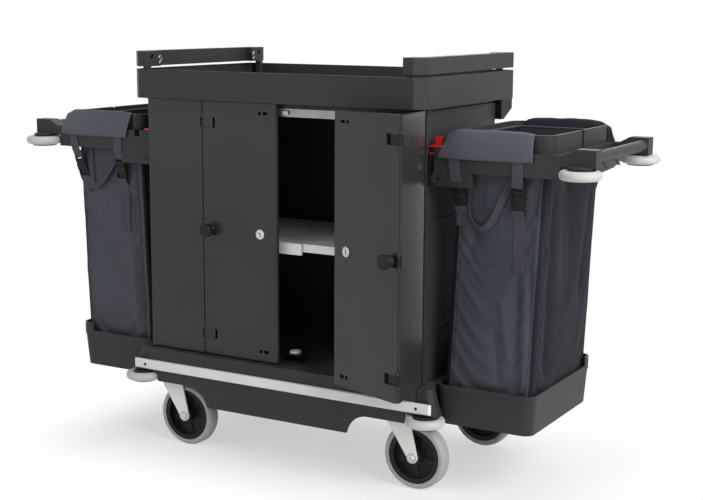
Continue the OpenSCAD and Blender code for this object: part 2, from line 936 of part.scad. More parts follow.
module fold_leaf(side) {
    color(body_grey)
        swing_and_fold(side, door_angle(side))
            difference() {
                sweep_z([door_z, leaf_top])
                    union() {
                        polygon([
                            [free_x + door_t / 2, door_out], [fold_start, door_out],
                            [fold_start, axis_y + mitre_lip], [fold_start - mitre_in, door_in],
                            [free_x + door_t / 2, door_in]
                        ]);
                        translate([free_x + door_t / 2, (door_out + door_in) / 2]) circle(door_t / 2);
                    }
                leaf_pockets([free_x + lock_inset + 2 * pocket_rib,
                    fold_start - knob_inset - hinge_plate_l - hinge_window]);
                for (z = hinge_zs) {
                    box([fold_start - hinge_plate_l - hinge_window, fold_start + over],
                        [door_out - over, door_in + over],
                        [z - hinge_h / 2 - run_gap, z + hinge_h / 2 + run_gap]);
                    seam_room([z - hinge_h / 2 - eye_h - 2 * run_gap, z + hinge_h / 2 + eye_h + 2 * run_gap]);
                }
                for (z = [door_z + slot_inset, cab_z - slot_inset - slot_h])
                    for (x = [slot_x, slot_x + slot_large + slot_space])
                        box([free_x + x, free_x + x + (x == slot_x ? slot_large : slot_small)],
                            [door_out - over, door_in + over], [z, z + slot_h]);
                translate([free_x + lock_inset, 0, lock_z])
                    rod_y(plug_d / 2 + fit_gap, [door_out - over, door_in + over]);
            }
}

// Hinge of the folding leaf: a plate let into the leaf, with a barrel and a pin on the seam axis
module fold_hinges(side) {
    color(soft_black)
        swing_and_fold(side, door_angle(side))
            for (z = hinge_zs) {
                translate([seam_x, axis_y, 0]) {
                    rod(eye_r, [z - hinge_h / 2, z + hinge_h / 2]);
                    rod(hinge_pin_r, [z - hinge_h / 2 - eye_h, z + hinge_h / 2 + eye_h]);
                }
                box([fold_start - hinge_plate_l, seam_x],
                    [axis_y - hinge_plate_t / 2, axis_y + hinge_plate_t / 2],
                    [z - hinge_h / 2 - run_gap, z + hinge_h / 2 + run_gap]);
            }
}

module knob(side) {
    neck = 0.42;
    waist = 0.5;
    color(soft_black)
        swing_and_fold(side, door_angle(side))
            translate([fold_start - knob_inset, door_out, lock_z])
                rotate([90, 0, 0])
                    rotate_extrude()
                        polygon([
                            [0, 0], [knob_d * neck, 0], [knob_d * neck * 0.8, knob_h * 0.2],
                            [knob_d * neck * waist, knob_h * waist], [knob_d / 2, knob_h * 0.62],
                            [knob_d / 2, knob_h * 0.9], [knob_d * neck, knob_h], [0, knob_h]
                        ]);
}

module lock_plug(side) {
    color(steel)
        swing_and_fold(side, door_angle(side))
            translate([free_x + lock_inset, 0, lock_z]) {
                rod_y(plug_d / 2, [door_out - plug_proud, door_in + run_gap + cam_t]);
                rod_y(cup_r, [door_out - plug_proud, door_out - run_gap]);
                box([-cam_w / 2, cam_w / 2], [door_in + run_gap, door_in + run_gap + cam_t], [-cam_l, 0]);
            }
}

// Top

// Plan of the tray: bevelled front corners, and a step in at the rear overhang
module tray_plan() {
    polygon([
        [-tray_x + corner_cut, -tray_front], [tray_x - corner_cut, -tray_front],
        [tray_x, -tray_front + corner_cut], [tray_x, rear_step_y],
        [tray_x - rear_step, rear_step_y + rear_step], [tray_x - rear_step, tray_rear - rear_step],
        [tray_x - 2 * rear_step, tray_rear], [-tray_x + 2 * rear_step, tray_rear],
        [-tray_x + rear_step, tray_rear - rear_step], [-tray_x + rear_step, rear_step_y + rear_step],
        [-tray_x, rear_step_y], [-tray_x, -tray_front + corner_cut]
    ]);
}

module tray_hollow() {
    inset = tray_wall + rear_step;
    cut = corner_cut - rear_step;
    polygon([
        [-tray_x + inset + cut, -tray_front + tray_wall], [tray_x - inset - cut, -tray_front + tray_wall],
        [tray_x - inset, -tray_front + tray_wall + cut], [tray_x - inset, tray_rear - tray_wall - rear_step],
        [tray_x - inset - rear_step, tray_rear - tray_wall],
        [-tray_x + inset + rear_step, tray_rear - tray_wall],
        [-tray_x + inset, tray_rear - tray_wall - rear_step], [-tray_x + inset, -tray_front + tray_wall + cut]
    ]);
}

module top_tray() {
    color(body_grey) {
        difference() {
            sweep_z([tray_z, rim_z]) tray_plan();
            sweep_z([tray_z + tray_floor, rim_z + over]) tray_hollow();
            for (side = [-1, 1])
                on_side(side) rail_posts(run_gap, tray_z + tray_floor + over);
        }
        for (x = [-foot_x, 0, foot_x], y = foot_ys)
            translate([x, y, 0]) rod(foot_r, [cab_z, tray_z + over]);
    }
}

module tray_gussets() {
    color(soft_black)
        for (side = [-1, 1])
            on_side(side)
                sweep_x([gusset_x - gusset_t, gusset_x])
                    polygon([
                        [panel_rear, tray_z], [panel_rear + gusset_reach, tray_z],
                        [panel_rear + gusset_reach, tray_z - gusset_tip],
                        [panel_rear + gusset_foot, tray_z - gusset_drop], [panel_rear, tray_z - gusset_drop]
                    ]);
}

// Posts of the right end rail, from their sockets in the tray's floor up to a height, grown by a gap
module rail_posts(gap, top) {
    x = tray_x - rail_block;
    for (y = [-tray_front + tray_wall, tray_rear - tray_wall - post_w])
        box([x - gap, x + post_w + gap], [y - gap, y + post_w + gap],
            [tray_z + tray_floor - post_sink, top]);
}

module end_rail(side) {
    block_x = tray_x - rail_block;
    inner_y = [-tray_front + rail_block_w, tray_rear - rail_block_w];
    color(body_grey)
        on_side(side)
            difference() {
                union() {
                    sweep_z([rail_z, rail_z + rail_h])
                        intersection() {
                            tray_plan();
                            translate([block_x, -tray_front])
                                square([rail_block, tray_front + tray_rear]);
                        }
                    rail_posts(0, rail_z + over);
                }
                box([block_x - over, tray_x - rail_w], inner_y, [rail_z - over, rail_z + rail_h + over]);
                for (y = [-tray_front + rail_block_w * 0.4, tray_rear - rail_block_w * 0.4])
                    translate([block_x, y, rail_z + rail_h * 0.64])
                        rotate([0, 90, 0])
                            translate([0, 0, -over])
                                cylinder(h = socket_depth + over, r = socket_d / 2);
            }
}

// Bag frames

// A frame ring's or a frame corner's place at the front or rear
module at_frame_ring(sy) {
    translate([frame_ring_x, sy * frame_ring_y, 0]) children();
}

module frame_arm() {
    difference() {
        union() {
            box([root_x, end_x], [arm_in, arm_y], [arm_low, arm_z]);
            box([root_x, root_x + root_l], [arm_in, arm_y], [hinge_z, arm_z]);
            box([hinge_x, root_x + root_l], [arm_in, arm_y], [root_z, arm_z]);
            translate([hinge_x, 0, hinge_z])
                rod_y(heel_r, [arm_in, arm_y]);
            sweep_y([arm_y - corner_w, arm_y])
                polygon([
                    [end_x - ramp_l, arm_z - over], [end_x - corner_l, corner_z], [end_x, corner_z],
                    [end_x, cap_z], [end_x - corner_l, cap_z]
                ]);
        }
        box([root_x - over, seat_end], [arm_in - over, arm_y + over], [seat_z, arm_z + over]);
        at_frame_ring(1)
            rod(ring_d / 2 + ring_clear, [arm_low - over, cap_z]);
        translate([hinge_x, 0, hinge_z])
            rod_y(frame_pin_d / 2 + fit_gap, [arm_in - over, arm_y + over]);
    }
    at_frame_ring(1) {
        rod(cap_r, [cap_z, cap_z + cap_t]);
        ring_post(frame_ring_z, cap_z + over);
    }
}

// Bridge on the front root block that guides the latch's tongue
module latch_guide() {
    guide_x = [root_x + guide_in, root_x + guide_in + guide_l];
    slot_y = tongue_w / 2 + run_gap;
    mid_y = -(arm_in + arm_y) / 2;
    difference() {
        box(guide_x, [mid_y - slot_y - guide_wall, mid_y + slot_y + guide_wall],
            [seat_z - over, seat_z + tongue_t + 2 * run_gap + guide_wall]);
        box([guide_x[0] - over, guide_x[1] + over], [mid_y - slot_y, mid_y + slot_y],
            [seat_z, seat_z + tongue_t + 2 * run_gap]);
    }
}

module bag_frame(side) {
    color(body_grey)
        on_side(side) {
            front_and_rear() frame_arm();
            latch_guide();
            box([hoop_x0 - cross_back, hoop_x0 + hoop_wall], [-arm_in - over, arm_in + over],
                [arm_z - cross_h, arm_z]);
            box([hoop_x1 - cross_lap, hoop_x1 + cross_lap], [-arm_in - over, arm_in + over],
                [arm_z - cross_h, arm_z]);
            translate([bar_x, 0, bar_z])
                rod_y(bar_d / 2, [-arm_y + corner_w - over, arm_y - corner_w + over]);
        }
}

// Plan of a hoop's wall, grown by a gap on both faces
module hoop_plan(gap) {
    wall = hoop_wall + gap;
    difference() {
        round_rect([hoop_x0 - gap, hoop_x1 + gap], [-hoop_y - gap, hoop_y + gap], hoop_r + gap);
        round_rect([hoop_x0 + wall, hoop_x1 - wall], [-hoop_y + wall, hoop_y - wall], hoop_r - wall);
    }
}

module hoop(side) {
    color(body_grey)
        on_side(side)
            difference() {
                sweep_z([arm_z, arm_z + hoop_h]) hoop_plan(0);
                box([hoop_x1 - 2 * hoop_wall, hoop_x1 + over], [-hoop_slot / 2, hoop_slot / 2],
                    [arm_z - over, arm_z + hoop_h + over]);
            }
}

module latch(side) {
    mid_y = -(arm_in + arm_y) / 2;
    tongue_y = [mid_y - tongue_w / 2, mid_y + tongue_w / 2];
    color(latch_red)
        on_side(side) {
            box([tongue_x, tongue_x + tongue_l], tongue_y, [seat_z + run_gap, seat_z + run_gap + tongue_t]);
            box([tongue_x + tab_in, tongue_x + tab_in + tab_l], [mid_y, tongue_y[1]],
                [seat_z + run_gap, seat_z + run_gap + tongue_t + tab_h]);
        }
}

module frame_ring(sx, sy) {
    roller_ring([sx * frame_ring_x, sy * frame_ring_y, frame_ring_z]);
}

// Plate on the cabinet's side, with the lugs and pins that a bag frame turns on
module wall_brackets() {
    lug_in = arm_in - run_gap;
    color(soft_black)
        for (side = [-1, 1])
            on_side(side) {
                box([wall_x, wall_x + bracket_t], [-arm_y, arm_y], [root_z, seat_z]);
                front_and_rear() {
                    sweep_y([lug_in - lug_t, lug_in])
                        union() {
                            translate([wall_x, hinge_z - lug_h / 2])
                                square([frame_pin_x, lug_h]);
                            translate([hinge_x, hinge_z]) circle(lug_h / 2);
                        }
                    translate([hinge_x, 0, hinge_z])
                        rod_y(frame_pin_d / 2, [lug_in - over, arm_y]);
                }
            }
}

// Bags and end trays

// A lofted block between a foot plan and a mouth plan, each with its middle, half sizes and height
module loft(foot, mouth, r) {
    hull()
        for (p = [foot, mouth])
            translate([0, 0, p[3]])
                linear_extrude(0.01)
                    round_rect([p[0] - p[1], p[0] + p[1]], [-p[2], p[2]], r, $fn = loft_fn);
}

module bag(side) {
    foot = [bag_foot_x, bag_l_foot / 2, bag_w_foot / 2, bag_foot_z];
    mouth = [bag_x, bag_l_top / 2, bag_w_top / 2, bag_top_z];
    inset = [0, -bag_wall, -bag_wall, 0];
    color(bag_slate)
        on_side(side)
            difference() {
                loft(foot, mouth, bag_r);
                loft(foot + inset + [0, 0, 0, bag_wall], mouth + inset + [0, 0, 0, over], bag_r - bag_wall);
            }
}

// One flap, seen along the cart: over the hoop, and down in front of the arm
module flap_profile() {
    in_y = hoop_y - hoop_wall - run_gap;
    out_y = arm_y + run_gap;
    top = arm_z + hoop_h + run_gap;
    low = arm_z - flap_drop;
    tail = arm_z + 6;
    polygon([
        [in_y - flap_t, tail], [in_y - flap_t, top + flap_t], [hoop_y + flap_t, top + flap_t],
        [out_y + flap_t, arm_z + flap_t], [out_y + flap_t, low], [out_y, low],
        [out_y, arm_z + run_gap], [hoop_y + run_gap, top], [in_y, top], [in_y, tail]
    ]);
}

// One strap: from the flap's hem in to the bag's face, and down it
module strap_profile() {
    out_y = arm_y + run_gap;
    low = arm_z - flap_drop;
    meet = buckle_top - buckle_h;
    polygon([
        [out_y, low + flap_t], [out_y + flap_t, low + flap_t], [out_y + flap_t, buckle_top],
        [bag_half(meet) + 2 * flap_t, meet], [bag_half(strap_z) + flap_t + run_gap, strap_z],
        [bag_half(strap_z) + run_gap, strap_z], [bag_half(meet) + run_gap, meet], [out_y, buckle_top]
    ]);
}

module bag_flaps(side) {
    color(bag_slate)
        on_side(side)
            for (face = [-1, 1])
                on_face(face) {
                    mid = bag_x - flap_in + side * face * flap_shift;
                    difference() {
                        sweep_x([mid - flap_l / 2, mid + flap_l / 2]) flap_profile();
                        sweep_z([arm_z - over, arm_z + hoop_h + run_gap]) hoop_plan(run_gap);
                    }
                    for (s = [-1, 1])
                        translate([mid + s * strap_x, 0, 0]) {
                            sweep_x([-strap_w / 2, strap_w / 2]) strap_profile();
                            box([-buckle_w / 2, buckle_w / 2], [arm_y + run_gap, arm_y + run_gap + buckle_t],
                                [buckle_top - flap_t, buckle_top + buckle_h / 2]);
                        }
                }
}

// Plan of an end tray's rim
module rim_plan() {
    difference() {
        round_rect([etray_x0 - 1, etray_x1 + 1], [-etray_y - 1, etray_y + 1], etray_r + 1);
        round_rect([etray_x0 + etray_wall - 1, etray_x1 - etray_wall + 1],
            [-etray_y + etray_wall - 1, etray_y - etray_wall + 1], etray_r - etray_wall + 1);
    }
}

// An end tray, with a raised lip on the outer corner that the right end has behind and the left in front
module end_tray(side) {
    mid = (etray_x0 + etray_x1) / 2;
    foot = [mid, etray_l / 2 - etray_draft, etray_y - etray_draft, etray_z];
    rim = [mid, etray_l / 2, etray_y, etray_z + etray_h];
    inset = [0, -etray_wall, -etray_wall, 0];
    rim_band = 10;
    hook_y = 40;
    color(body_grey)
        on_side(side) {
            difference() {
                loft(foot, rim, etray_r);
                loft(foot + inset + [0, 0, 0, etray_floor], rim + inset + [0, 0, 0, over], etray_r - etray_wall);
            }
            sweep_z([etray_z + etray_h - rim_band, etray_z + etray_h]) rim_plan();
            sweep_z([etray_z + etray_h - over, etray_z + etray_h + lip_h])
                intersection() {
                    rim_plan();
                    translate([etray_x1 - lip_l, side > 0 ? etray_y - lip_l : -etray_y - 2 * over])
                        square(lip_l + 2 * over);
                }
            for (y = [-hook_y * 2, hook_y])
                box([base_x, etray_x0 + etray_wall], [y, y + hook_y], [pad_z + base_wall, deck_z - base_wall]);
        }
}

base_deck();
ring_posts();
base_skirts();
bumper_strips();
base_ring(-1, -1);  // base_ring_front_left
base_ring(1, -1);  // base_ring_front_right
base_ring(-1, 1);  // base_ring_rear_left
base_ring(1, 1);  // base_ring_rear_right
castor_plates();
fork(-1, -1);  // fork_front_left
fork(1, -1);  // fork_front_right
fork(-1, 1);  // fork_rear_left
fork(1, 1);  // fork_rear_right
wheel(-1, -1);  // wheel_front_left
wheel(1, -1);  // wheel_front_right
wheel(-1, 1);  // wheel_rear_left
wheel(1, 1);  // wheel_rear_right
tyre(-1, -1);  // tyre_front_left
tyre(1, -1);  // tyre_front_right
tyre(-1, 1);  // tyre_rear_left
tyre(1, 1);  // tyre_rear_right
side_panel(-1);  // left_side_panel
side_panel(1);  // right_side_panel
back_panel();
cabinet_top();
door_rail();
door_catches();
shelves();
jamb_pivots();
jamb_leaf(-1);  // left_jamb_leaf
jamb_leaf(1);  // right_jamb_leaf
fold_leaf(-1);  // left_fold_leaf
fold_leaf(1);  // right_fold_leaf
fold_hinges(-1);  // left_fold_hinges
fold_hinges(1);  // right_fold_hinges
knob(-1);  // left_knob
knob(1);  // right_knob
lock_plug(-1);  // left_lock_plug
lock_plug(1);  // right_lock_plug
top_tray();
tray_gussets();
end_rail(-1);  // left_end_rail
end_rail(1);  // right_end_rail
end_tray(-1);  // left_end_tray
end_tray(1);  // right_end_tray
bag(-1);  // left_bag
bag(1);  // right_bag
bag_flaps(-1);  // left_bag_flaps
bag_flaps(1);  // right_bag_flaps
wall_brackets();
bag_frame(-1);  // left_bag_frame
bag_frame(1);  // right_bag_frame
hoop(-1);  // left_hoop
hoop(1);  // right_hoop
latch(-1);  // left_latch
latch(1);  // right_latch
frame_ring(-1, -1);  // frame_ring_front_left
frame_ring(1, -1);  // frame_ring_front_right
frame_ring(-1, 1);  // frame_ring_rear_left
frame_ring(1, 1);  // frame_ring_rear_right
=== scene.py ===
"""Dress the two-bag housekeeping cart: finishes for its solids, cloth for its bags, and its small fittings.

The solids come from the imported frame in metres, with +X along the cart, -Y towards the doors and +Z up.
"""

import json
import logging
import math
from dataclasses import dataclass, field
from enum import Enum
from typing import ClassVar

import bpy
from mathutils import Matrix, Vector

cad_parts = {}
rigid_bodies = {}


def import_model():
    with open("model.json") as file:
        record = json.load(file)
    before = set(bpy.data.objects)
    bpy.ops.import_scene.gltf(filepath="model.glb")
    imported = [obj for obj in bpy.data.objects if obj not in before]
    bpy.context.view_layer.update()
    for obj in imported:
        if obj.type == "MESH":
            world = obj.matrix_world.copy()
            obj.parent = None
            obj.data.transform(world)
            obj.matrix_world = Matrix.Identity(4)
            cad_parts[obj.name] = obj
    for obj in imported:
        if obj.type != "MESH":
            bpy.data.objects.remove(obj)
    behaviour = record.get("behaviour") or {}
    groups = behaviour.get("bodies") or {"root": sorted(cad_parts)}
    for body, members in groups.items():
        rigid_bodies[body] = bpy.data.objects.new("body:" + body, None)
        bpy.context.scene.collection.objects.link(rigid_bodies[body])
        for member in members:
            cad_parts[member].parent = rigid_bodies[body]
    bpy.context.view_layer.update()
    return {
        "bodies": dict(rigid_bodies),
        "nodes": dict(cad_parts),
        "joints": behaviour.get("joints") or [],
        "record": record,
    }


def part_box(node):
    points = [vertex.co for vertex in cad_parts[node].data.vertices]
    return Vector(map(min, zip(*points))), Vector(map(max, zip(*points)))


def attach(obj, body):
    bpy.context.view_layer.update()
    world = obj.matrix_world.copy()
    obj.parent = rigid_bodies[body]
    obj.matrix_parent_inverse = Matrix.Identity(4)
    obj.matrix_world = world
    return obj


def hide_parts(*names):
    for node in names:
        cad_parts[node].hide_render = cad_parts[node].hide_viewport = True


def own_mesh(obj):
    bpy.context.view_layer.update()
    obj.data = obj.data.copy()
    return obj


LOG = logging.getLogger("cart")
Point = tuple[float, float, float]
Pair = tuple[float, float]
Corners = tuple[int, ...]
Part = tuple[list[Vector], list[Corners]]
ALONG = Vector((1.0, 0.0, 0.0))
UP = Vector((0.0, 0.0, 1.0))


class End(Enum):
    """The cart's two ends, with the sign of X at each."""

    LEFT = -1
    RIGHT = 1

    @property
    def word(self) -> str:
        """Name of the end, as the solids' names begin."""
        return self.name.lower()


class Face(Enum):
    """The cart's two long faces, with the sign of Y at each."""

    FRONT = -1
    REAR = 1

    @property
    def word(self) -> str:
        """Name of the face, as piece names end."""
        return self.name.lower()


class Grain(Enum):
    """How a finish's fine texture lies on the surface, by its effect's name."""

    PEBBLE = "pebble"
    BRUSHED = "brushed"
    WOVEN = "weave"


# Shader graphs


class Graph:
    """Adds and links nodes in one shader tree."""

    def __init__(self, tree: bpy.types.NodeTree) -> None:
        """Keep the tree that nodes are added to.

        Args:
            tree: Node tree of a material or of a shader group.
        """
        self.tree = tree

    def add(self, kind: str, inputs: dict | None = None, **settings: object) -> bpy.types.Node:
        """Add one node.

        Args:
            kind: Node type.
            inputs: Socket name or index to a value, or to a socket that feeds it.
            **settings: Attributes of the node.

        Returns:
            The new node.
        """
        node = self.tree.nodes.new(kind)
        for name, value in settings.items():
            setattr(node, name, value)
        for name, value in (inputs or {}).items():
            self.feed(node.inputs[name], value)
        return node

    def group(self, tree: bpy.types.NodeTree, inputs: dict) -> bpy.types.Node:
        """Add a shared effect.

        Args:
            tree: The effect's group.
            inputs: Socket name to a value.

        Returns:
            The new node.
        """
        node = self.add("ShaderNodeGroup", node_tree=tree)
        for name, value in inputs.items():
            self.feed(node.inputs[name], value)
        return node

    def feed(self, socket: bpy.types.NodeSocket, value: object) -> None:
        """Link a socket, or set its value.

        Args:
            socket: Input socket.
            value: Another node's output socket, or a plain value.
        """
        if isinstance(value, bpy.types.NodeSocket):
            self.tree.links.new(value, socket)
        else:
            socket.default_value = value

    def math(self, operation: str, *values: object, clamp: bool = False) -> bpy.types.NodeSocket:
        """Add a Math node.

        Args:
            operation: Blender's name of the operation.
            *values: Its inputs, in order.
            clamp: Whether the result is held between 0 and 1.

        Returns:
            The result's socket.
        """
        node = self.add("ShaderNodeMath", dict(enumerate(values)), operation=operation, use_clamp=clamp)
        return node.outputs[0]

    def mix(self, factor: object, first: object, second: object) -> bpy.types.NodeSocket:
        """Mix two colours.

        Args:
            factor: Share of the second colour.
            first: Colour or socket at 0.
            second: Colour or socket at 1.

        Returns:
            The mixed colour's socket.
        """
        node = self.add("ShaderNodeMix", data_type="RGBA")
        for index, value in ((0, factor), (6, first), (7, second)):
            self.feed(node.inputs[index], value)
        return node.outputs[2]

    def span(self, value: object, low: float, high: float) -> bpy.types.NodeSocket:
        """Map low..high to 0..1, held at both ends.

        Args:
            value: Socket to map.
            low: Value that becomes 0.
            high: Value that becomes 1.

        Returns:
            The mapped value's socket.
        """
        node = self.add("ShaderNodeMapRange", {0: value, 1: low, 2: high}, interpolation_type="SMOOTHSTEP")
        return node.outputs[0]


class EffectLibrary:
    """Shader groups that several finishes share, each built once."""

    def __init__(self) -> None:
        """Build every shared effect."""
        self.pebble = self._pebble()
        self.brushed = self._brushed()
        self.weave = self._weave()
        self.soft_edges = self._soft_edges()
        self.dust = self._dust()

    @staticmethod
    def _group(name: str, inputs: dict[str, float], outputs: dict[str, str]) -> tuple:
        """Start a shader group with named sockets.

        Args:
            name: Group's name.
            inputs: Input name to its first value.
            outputs: Output name to its socket type.

        Returns:
            The group, its graph, its input node and its output node.
        """
        group = bpy.data.node_groups.new(name, "ShaderNodeTree")
        for title, value in inputs.items():
            socket = group.interface.new_socket(title, in_out="INPUT", socket_type="NodeSocketFloat")
            socket.default_value = value
        for title, kind in outputs.items():
            group.interface.new_socket(title, in_out="OUTPUT", socket_type=kind)
        graph = Graph(group)
        return group, graph, graph.add("NodeGroupInput"), graph.add("NodeGroupOutput")

    def _texture(self, name: str, scale: float, roughness: float, spread: float) -> tuple:
        """Start a group for a fine texture.

        Args:
            name: Group's name.
            scale: First value of the texture's scale.
            roughness: First value of the mean roughness.
            spread: First value of the roughness's drift.

        Returns:
            The group, its graph, its input node and its output node.
        """
        outputs = dict.fromkeys(("Height", "Roughness", "Tone"), "NodeSocketFloat")
        return self._group(name, {"Scale": scale, "Roughness": roughness, "Spread": spread}, outputs)

    @staticmethod
    def _send(graph: Graph, given: bpy.types.Node, out: bpy.types.Node, **made: bpy.types.NodeSocket) -> None:
        """Feed the outputs of a texture's group.

        Args:
            graph: Graph of the group.
            given: Its input node.
            out: Its output node.
            **made: Sockets of the height, of the drift about 0.5 that shifts the roughness, and of the tone.
        """
        shift = graph.math("MULTIPLY", graph.math("SUBTRACT", made["drift"], 0.5), given.outputs["Spread"])
        graph.feed(out.inputs["Height"], made["height"])
        graph.feed(out.inputs["Roughness"], graph.math("ADD", shift, given.outputs["Roughness"], clamp=True))
        graph.feed(out.inputs["Tone"], made["tone"])

    def _pebble(self) -> bpy.types.NodeTree:
        """Fine moulded texture with slow changes of tone.

        Returns:
            The group, with Height, Roughness and Tone outputs.
        """
        group, graph, given, out = self._texture("moulded_pebble", 900.0, 0.5, 0.1)
        place = graph.add("ShaderNodeTexCoord").outputs["Object"]
        fine = graph.add("ShaderNodeTexNoise", {"Vector": place, "Scale": given.outputs["Scale"], "Detail": 2.0})
        slow = graph.add("ShaderNodeTexNoise", {"Vector": place, "Scale": 5.0, "Detail": 4.0})
        tone = graph.span(slow.outputs[0], 0.35, 0.65)
        self._send(graph, given, out, height=fine.outputs[0], drift=slow.outputs[0], tone=tone)
        return group

    def _brushed(self) -> bpy.types.NodeTree:
        """Fine lines along the cart, for plated and satin metal.

        Returns:
            The group, with Height, Roughness and Tone outputs.
        """
        group, graph, given, out = self._texture("brushed_lines", 700.0, 0.35, 0.15)
        place = graph.add("ShaderNodeTexCoord").outputs["Object"]
        drawn = graph.add("ShaderNodeMapping", {"Vector": place, "Scale": (0.03, 1.0, 1.0)})
        fine = graph.add(
            "ShaderNodeTexNoise", {"Vector": drawn.outputs[0], "Scale": given.outputs["Scale"], "Detail": 1.0}
        )
        slow = graph.add("ShaderNodeTexNoise", {"Vector": place, "Scale": 30.0, "Detail": 3.0})
        tone = graph.span(slow.outputs[0], 0.3, 0.7)
        self._send(graph, given, out, height=fine.outputs[0], drift=fine.outputs[0], tone=tone)
        return group

    def _weave(self) -> bpy.types.NodeTree:
        """Plain weave of crossing threads, laid out by the piece's own cloth coordinates in metres.

        Returns:
            The group, with Height, Roughness and Tone outputs.
        """
        group, graph, given, out = self._texture("plain_weave", 4200.0, 0.7, 0.15)
        cloth = graph.add("ShaderNodeTexCoord").outputs["UV"]
        axes = graph.add("ShaderNodeSeparateXYZ", {0: cloth})
        warp = graph.math("SINE", graph.math("MULTIPLY", axes.outputs[0], given.outputs["Scale"]))
        weft = graph.math("SINE", graph.math("MULTIPLY", axes.outputs[1], given.outputs["Scale"]))
        crossed = graph.math("MULTIPLY", warp, weft)
        slub = graph.add("ShaderNodeTexNoise", {"Vector": cloth, "Scale": 60.0, "Detail": 5.0, "Roughness": 0.65})
        slow = graph.add("ShaderNodeTexNoise", {"Vector": cloth, "Scale": 9.0, "Detail": 3.0})
        height = graph.math("ADD", graph.math("MULTIPLY", crossed, 0.35), slub.outputs[0])
        tone = graph.span(slow.outputs[0], 0.3, 0.7)
        self._send(graph, given, out, height=height, drift=slub.outputs[0], tone=tone)
        return group

    def _soft_edges(self) -> bpy.types.NodeTree:
        """Rounded shading on hard edges, and a mask of where they rub.

        Returns:
            The group, with Normal and Wear outputs.
        """
        group, graph, given, out = self._group(
            "soft_edges",
            {"Radius": 0.0015},
            {"Normal": "NodeSocketVector", "Wear": "NodeSocketFloat"},
        )
        bevel = graph.add("ShaderNodeBevel", {"Radius": given.outputs["Radius"]}, samples=4)
        flat = graph.add("ShaderNodeNewGeometry")
        same = graph.add("ShaderNodeVectorMath", {0: bevel.outputs[0], 1: flat.outputs["Normal"]})
        same.operation = "DOT_PRODUCT"
        place = graph.add("ShaderNodeTexCoord").outputs["Object"]
        rub = graph.add("ShaderNodeTexNoise", {"Vector": place, "Scale": 55.0, "Detail": 5.0})
        edge = graph.span(graph.math("SUBTRACT", 1.0, same.outputs["Value"]), 0.02, 0.25)
        graph.feed(out.inputs["Normal"], bevel.outputs[0])
        graph.feed(out.inputs["Wear"], graph.math("MULTIPLY", edge, graph.span(rub.outputs[0], 0.45, 0.7)))
        return group

    def _dust(self) -> bpy.types.NodeTree:
        """Mask of settled dust on faces that look up.

        Returns:
            The group, with a Mask output.
        """
        group, graph, given, out = self._group("settled_dust", {"Amount": 0.1}, {"Mask": "NodeSocketFloat"})
        facing = graph.add("ShaderNodeSeparateXYZ", {0: graph.add("ShaderNodeNewGeometry").outputs["Normal"]})
        place = graph.add("ShaderNodeTexCoord").outputs["Object"]
        cloud = graph.add("ShaderNodeTexNoise", {"Vector": place, "Scale": 18.0, "Detail": 6.0})
        up = graph.span(facing.outputs[2], 0.5, 0.98)
        patch = graph.math("MULTIPLY", up, graph.span(cloud.outputs[0], 0.4, 0.75))
        graph.feed(out.inputs["Mask"], graph.math("MULTIPLY", patch, given.outputs["Amount"]))
        return group


@dataclass(frozen=True)
class Finish:
    """One surface finish of the cart.

    Attributes:
        name: Material's name.
        colour: Base colour, linear.
        second: Second tone that the base drifts to.
        grain: How the fine texture lies.
        scale: Fine texture's scale, per metre.
        depth: Fine texture's height, in metres.
        roughness: Mean roughness.
        spread: How far the roughness drifts.
        edge: Radius of softened edges, in metres, or 0 for crisp ones.
        wear: Colour of rubbed edges.
        dust: Share of dust on top faces.
        specular: Specular level of the shader.
        metallic: Metal share of the shader.
        coat: Clear coat weight.
        sheen: Cloth sheen weight.
    """

    name: str
    colour: Point
    second: Point
    grain: Grain = Grain.PEBBLE
    scale: float = 900.0
    depth: float = 0.00012
    roughness: float = 0.5
    spread: float = 0.1
    edge: float = 0.0015
    wear: Point = (0.09, 0.092, 0.092)
    dust: float = 0.06
    specular: float = 0.3
    metallic: float = 0.0
    coat: float = 0.0
    sheen: float = 0.0

    RELIEF: ClassVar[float] = 0.6
    COAT_ROUGHNESS: ClassVar[float] = 0.12
    SHEEN_ROUGHNESS: ClassVar[float] = 0.45
    DUST_COLOUR: ClassVar[tuple[float, ...]] = (0.5, 0.49, 0.47, 1.0)

    def build(self, effects: EffectLibrary) -> bpy.types.Material:
        """Make the material.

        Args:
            effects: Shared shader groups.

        Returns:
            The material, ready to assign.
        """
        material = bpy.data.materials.new(self.name)
        material.use_nodes = True
        material.node_tree.nodes.clear()
        graph = Graph(material.node_tree)
        lay = {"Scale": self.scale, "Roughness": self.roughness, "Spread": self.spread}
        texture = graph.group(getattr(effects, self.grain.value), lay)
        colour = graph.mix(texture.outputs["Tone"], (*self.colour, 1.0), (*self.second, 1.0))
        relief = {"Height": texture.outputs["Height"], "Distance": self.depth, "Strength": self.RELIEF}
        if self.grain is not Grain.WOVEN and self.edge:
            edges = graph.group(effects.soft_edges, {"Radius": self.edge})
            colour = graph.mix(edges.outputs["Wear"], colour, (*self.wear, 1.0))
            relief["Normal"] = edges.outputs["Normal"]
        dust = graph.group(effects.dust, {"Amount": self.dust})
        shader = graph.add("ShaderNodeBsdfPrincipled", {
            "Base Color": graph.mix(dust.outputs["Mask"], colour, self.DUST_COLOUR),
            "Roughness": texture.outputs["Roughness"],
            "Normal": graph.add("ShaderNodeBump", relief).outputs["Normal"],
            "Metallic": self.metallic, "Specular IOR Level": self.specular,
            "Coat Weight": self.coat, "Coat Roughness": self.COAT_ROUGHNESS,
            "Sheen Weight": self.sheen, "Sheen Roughness": self.SHEEN_ROUGHNESS,
        })
        graph.add("ShaderNodeOutputMaterial", {"Surface": shader.outputs[0]})
        return material


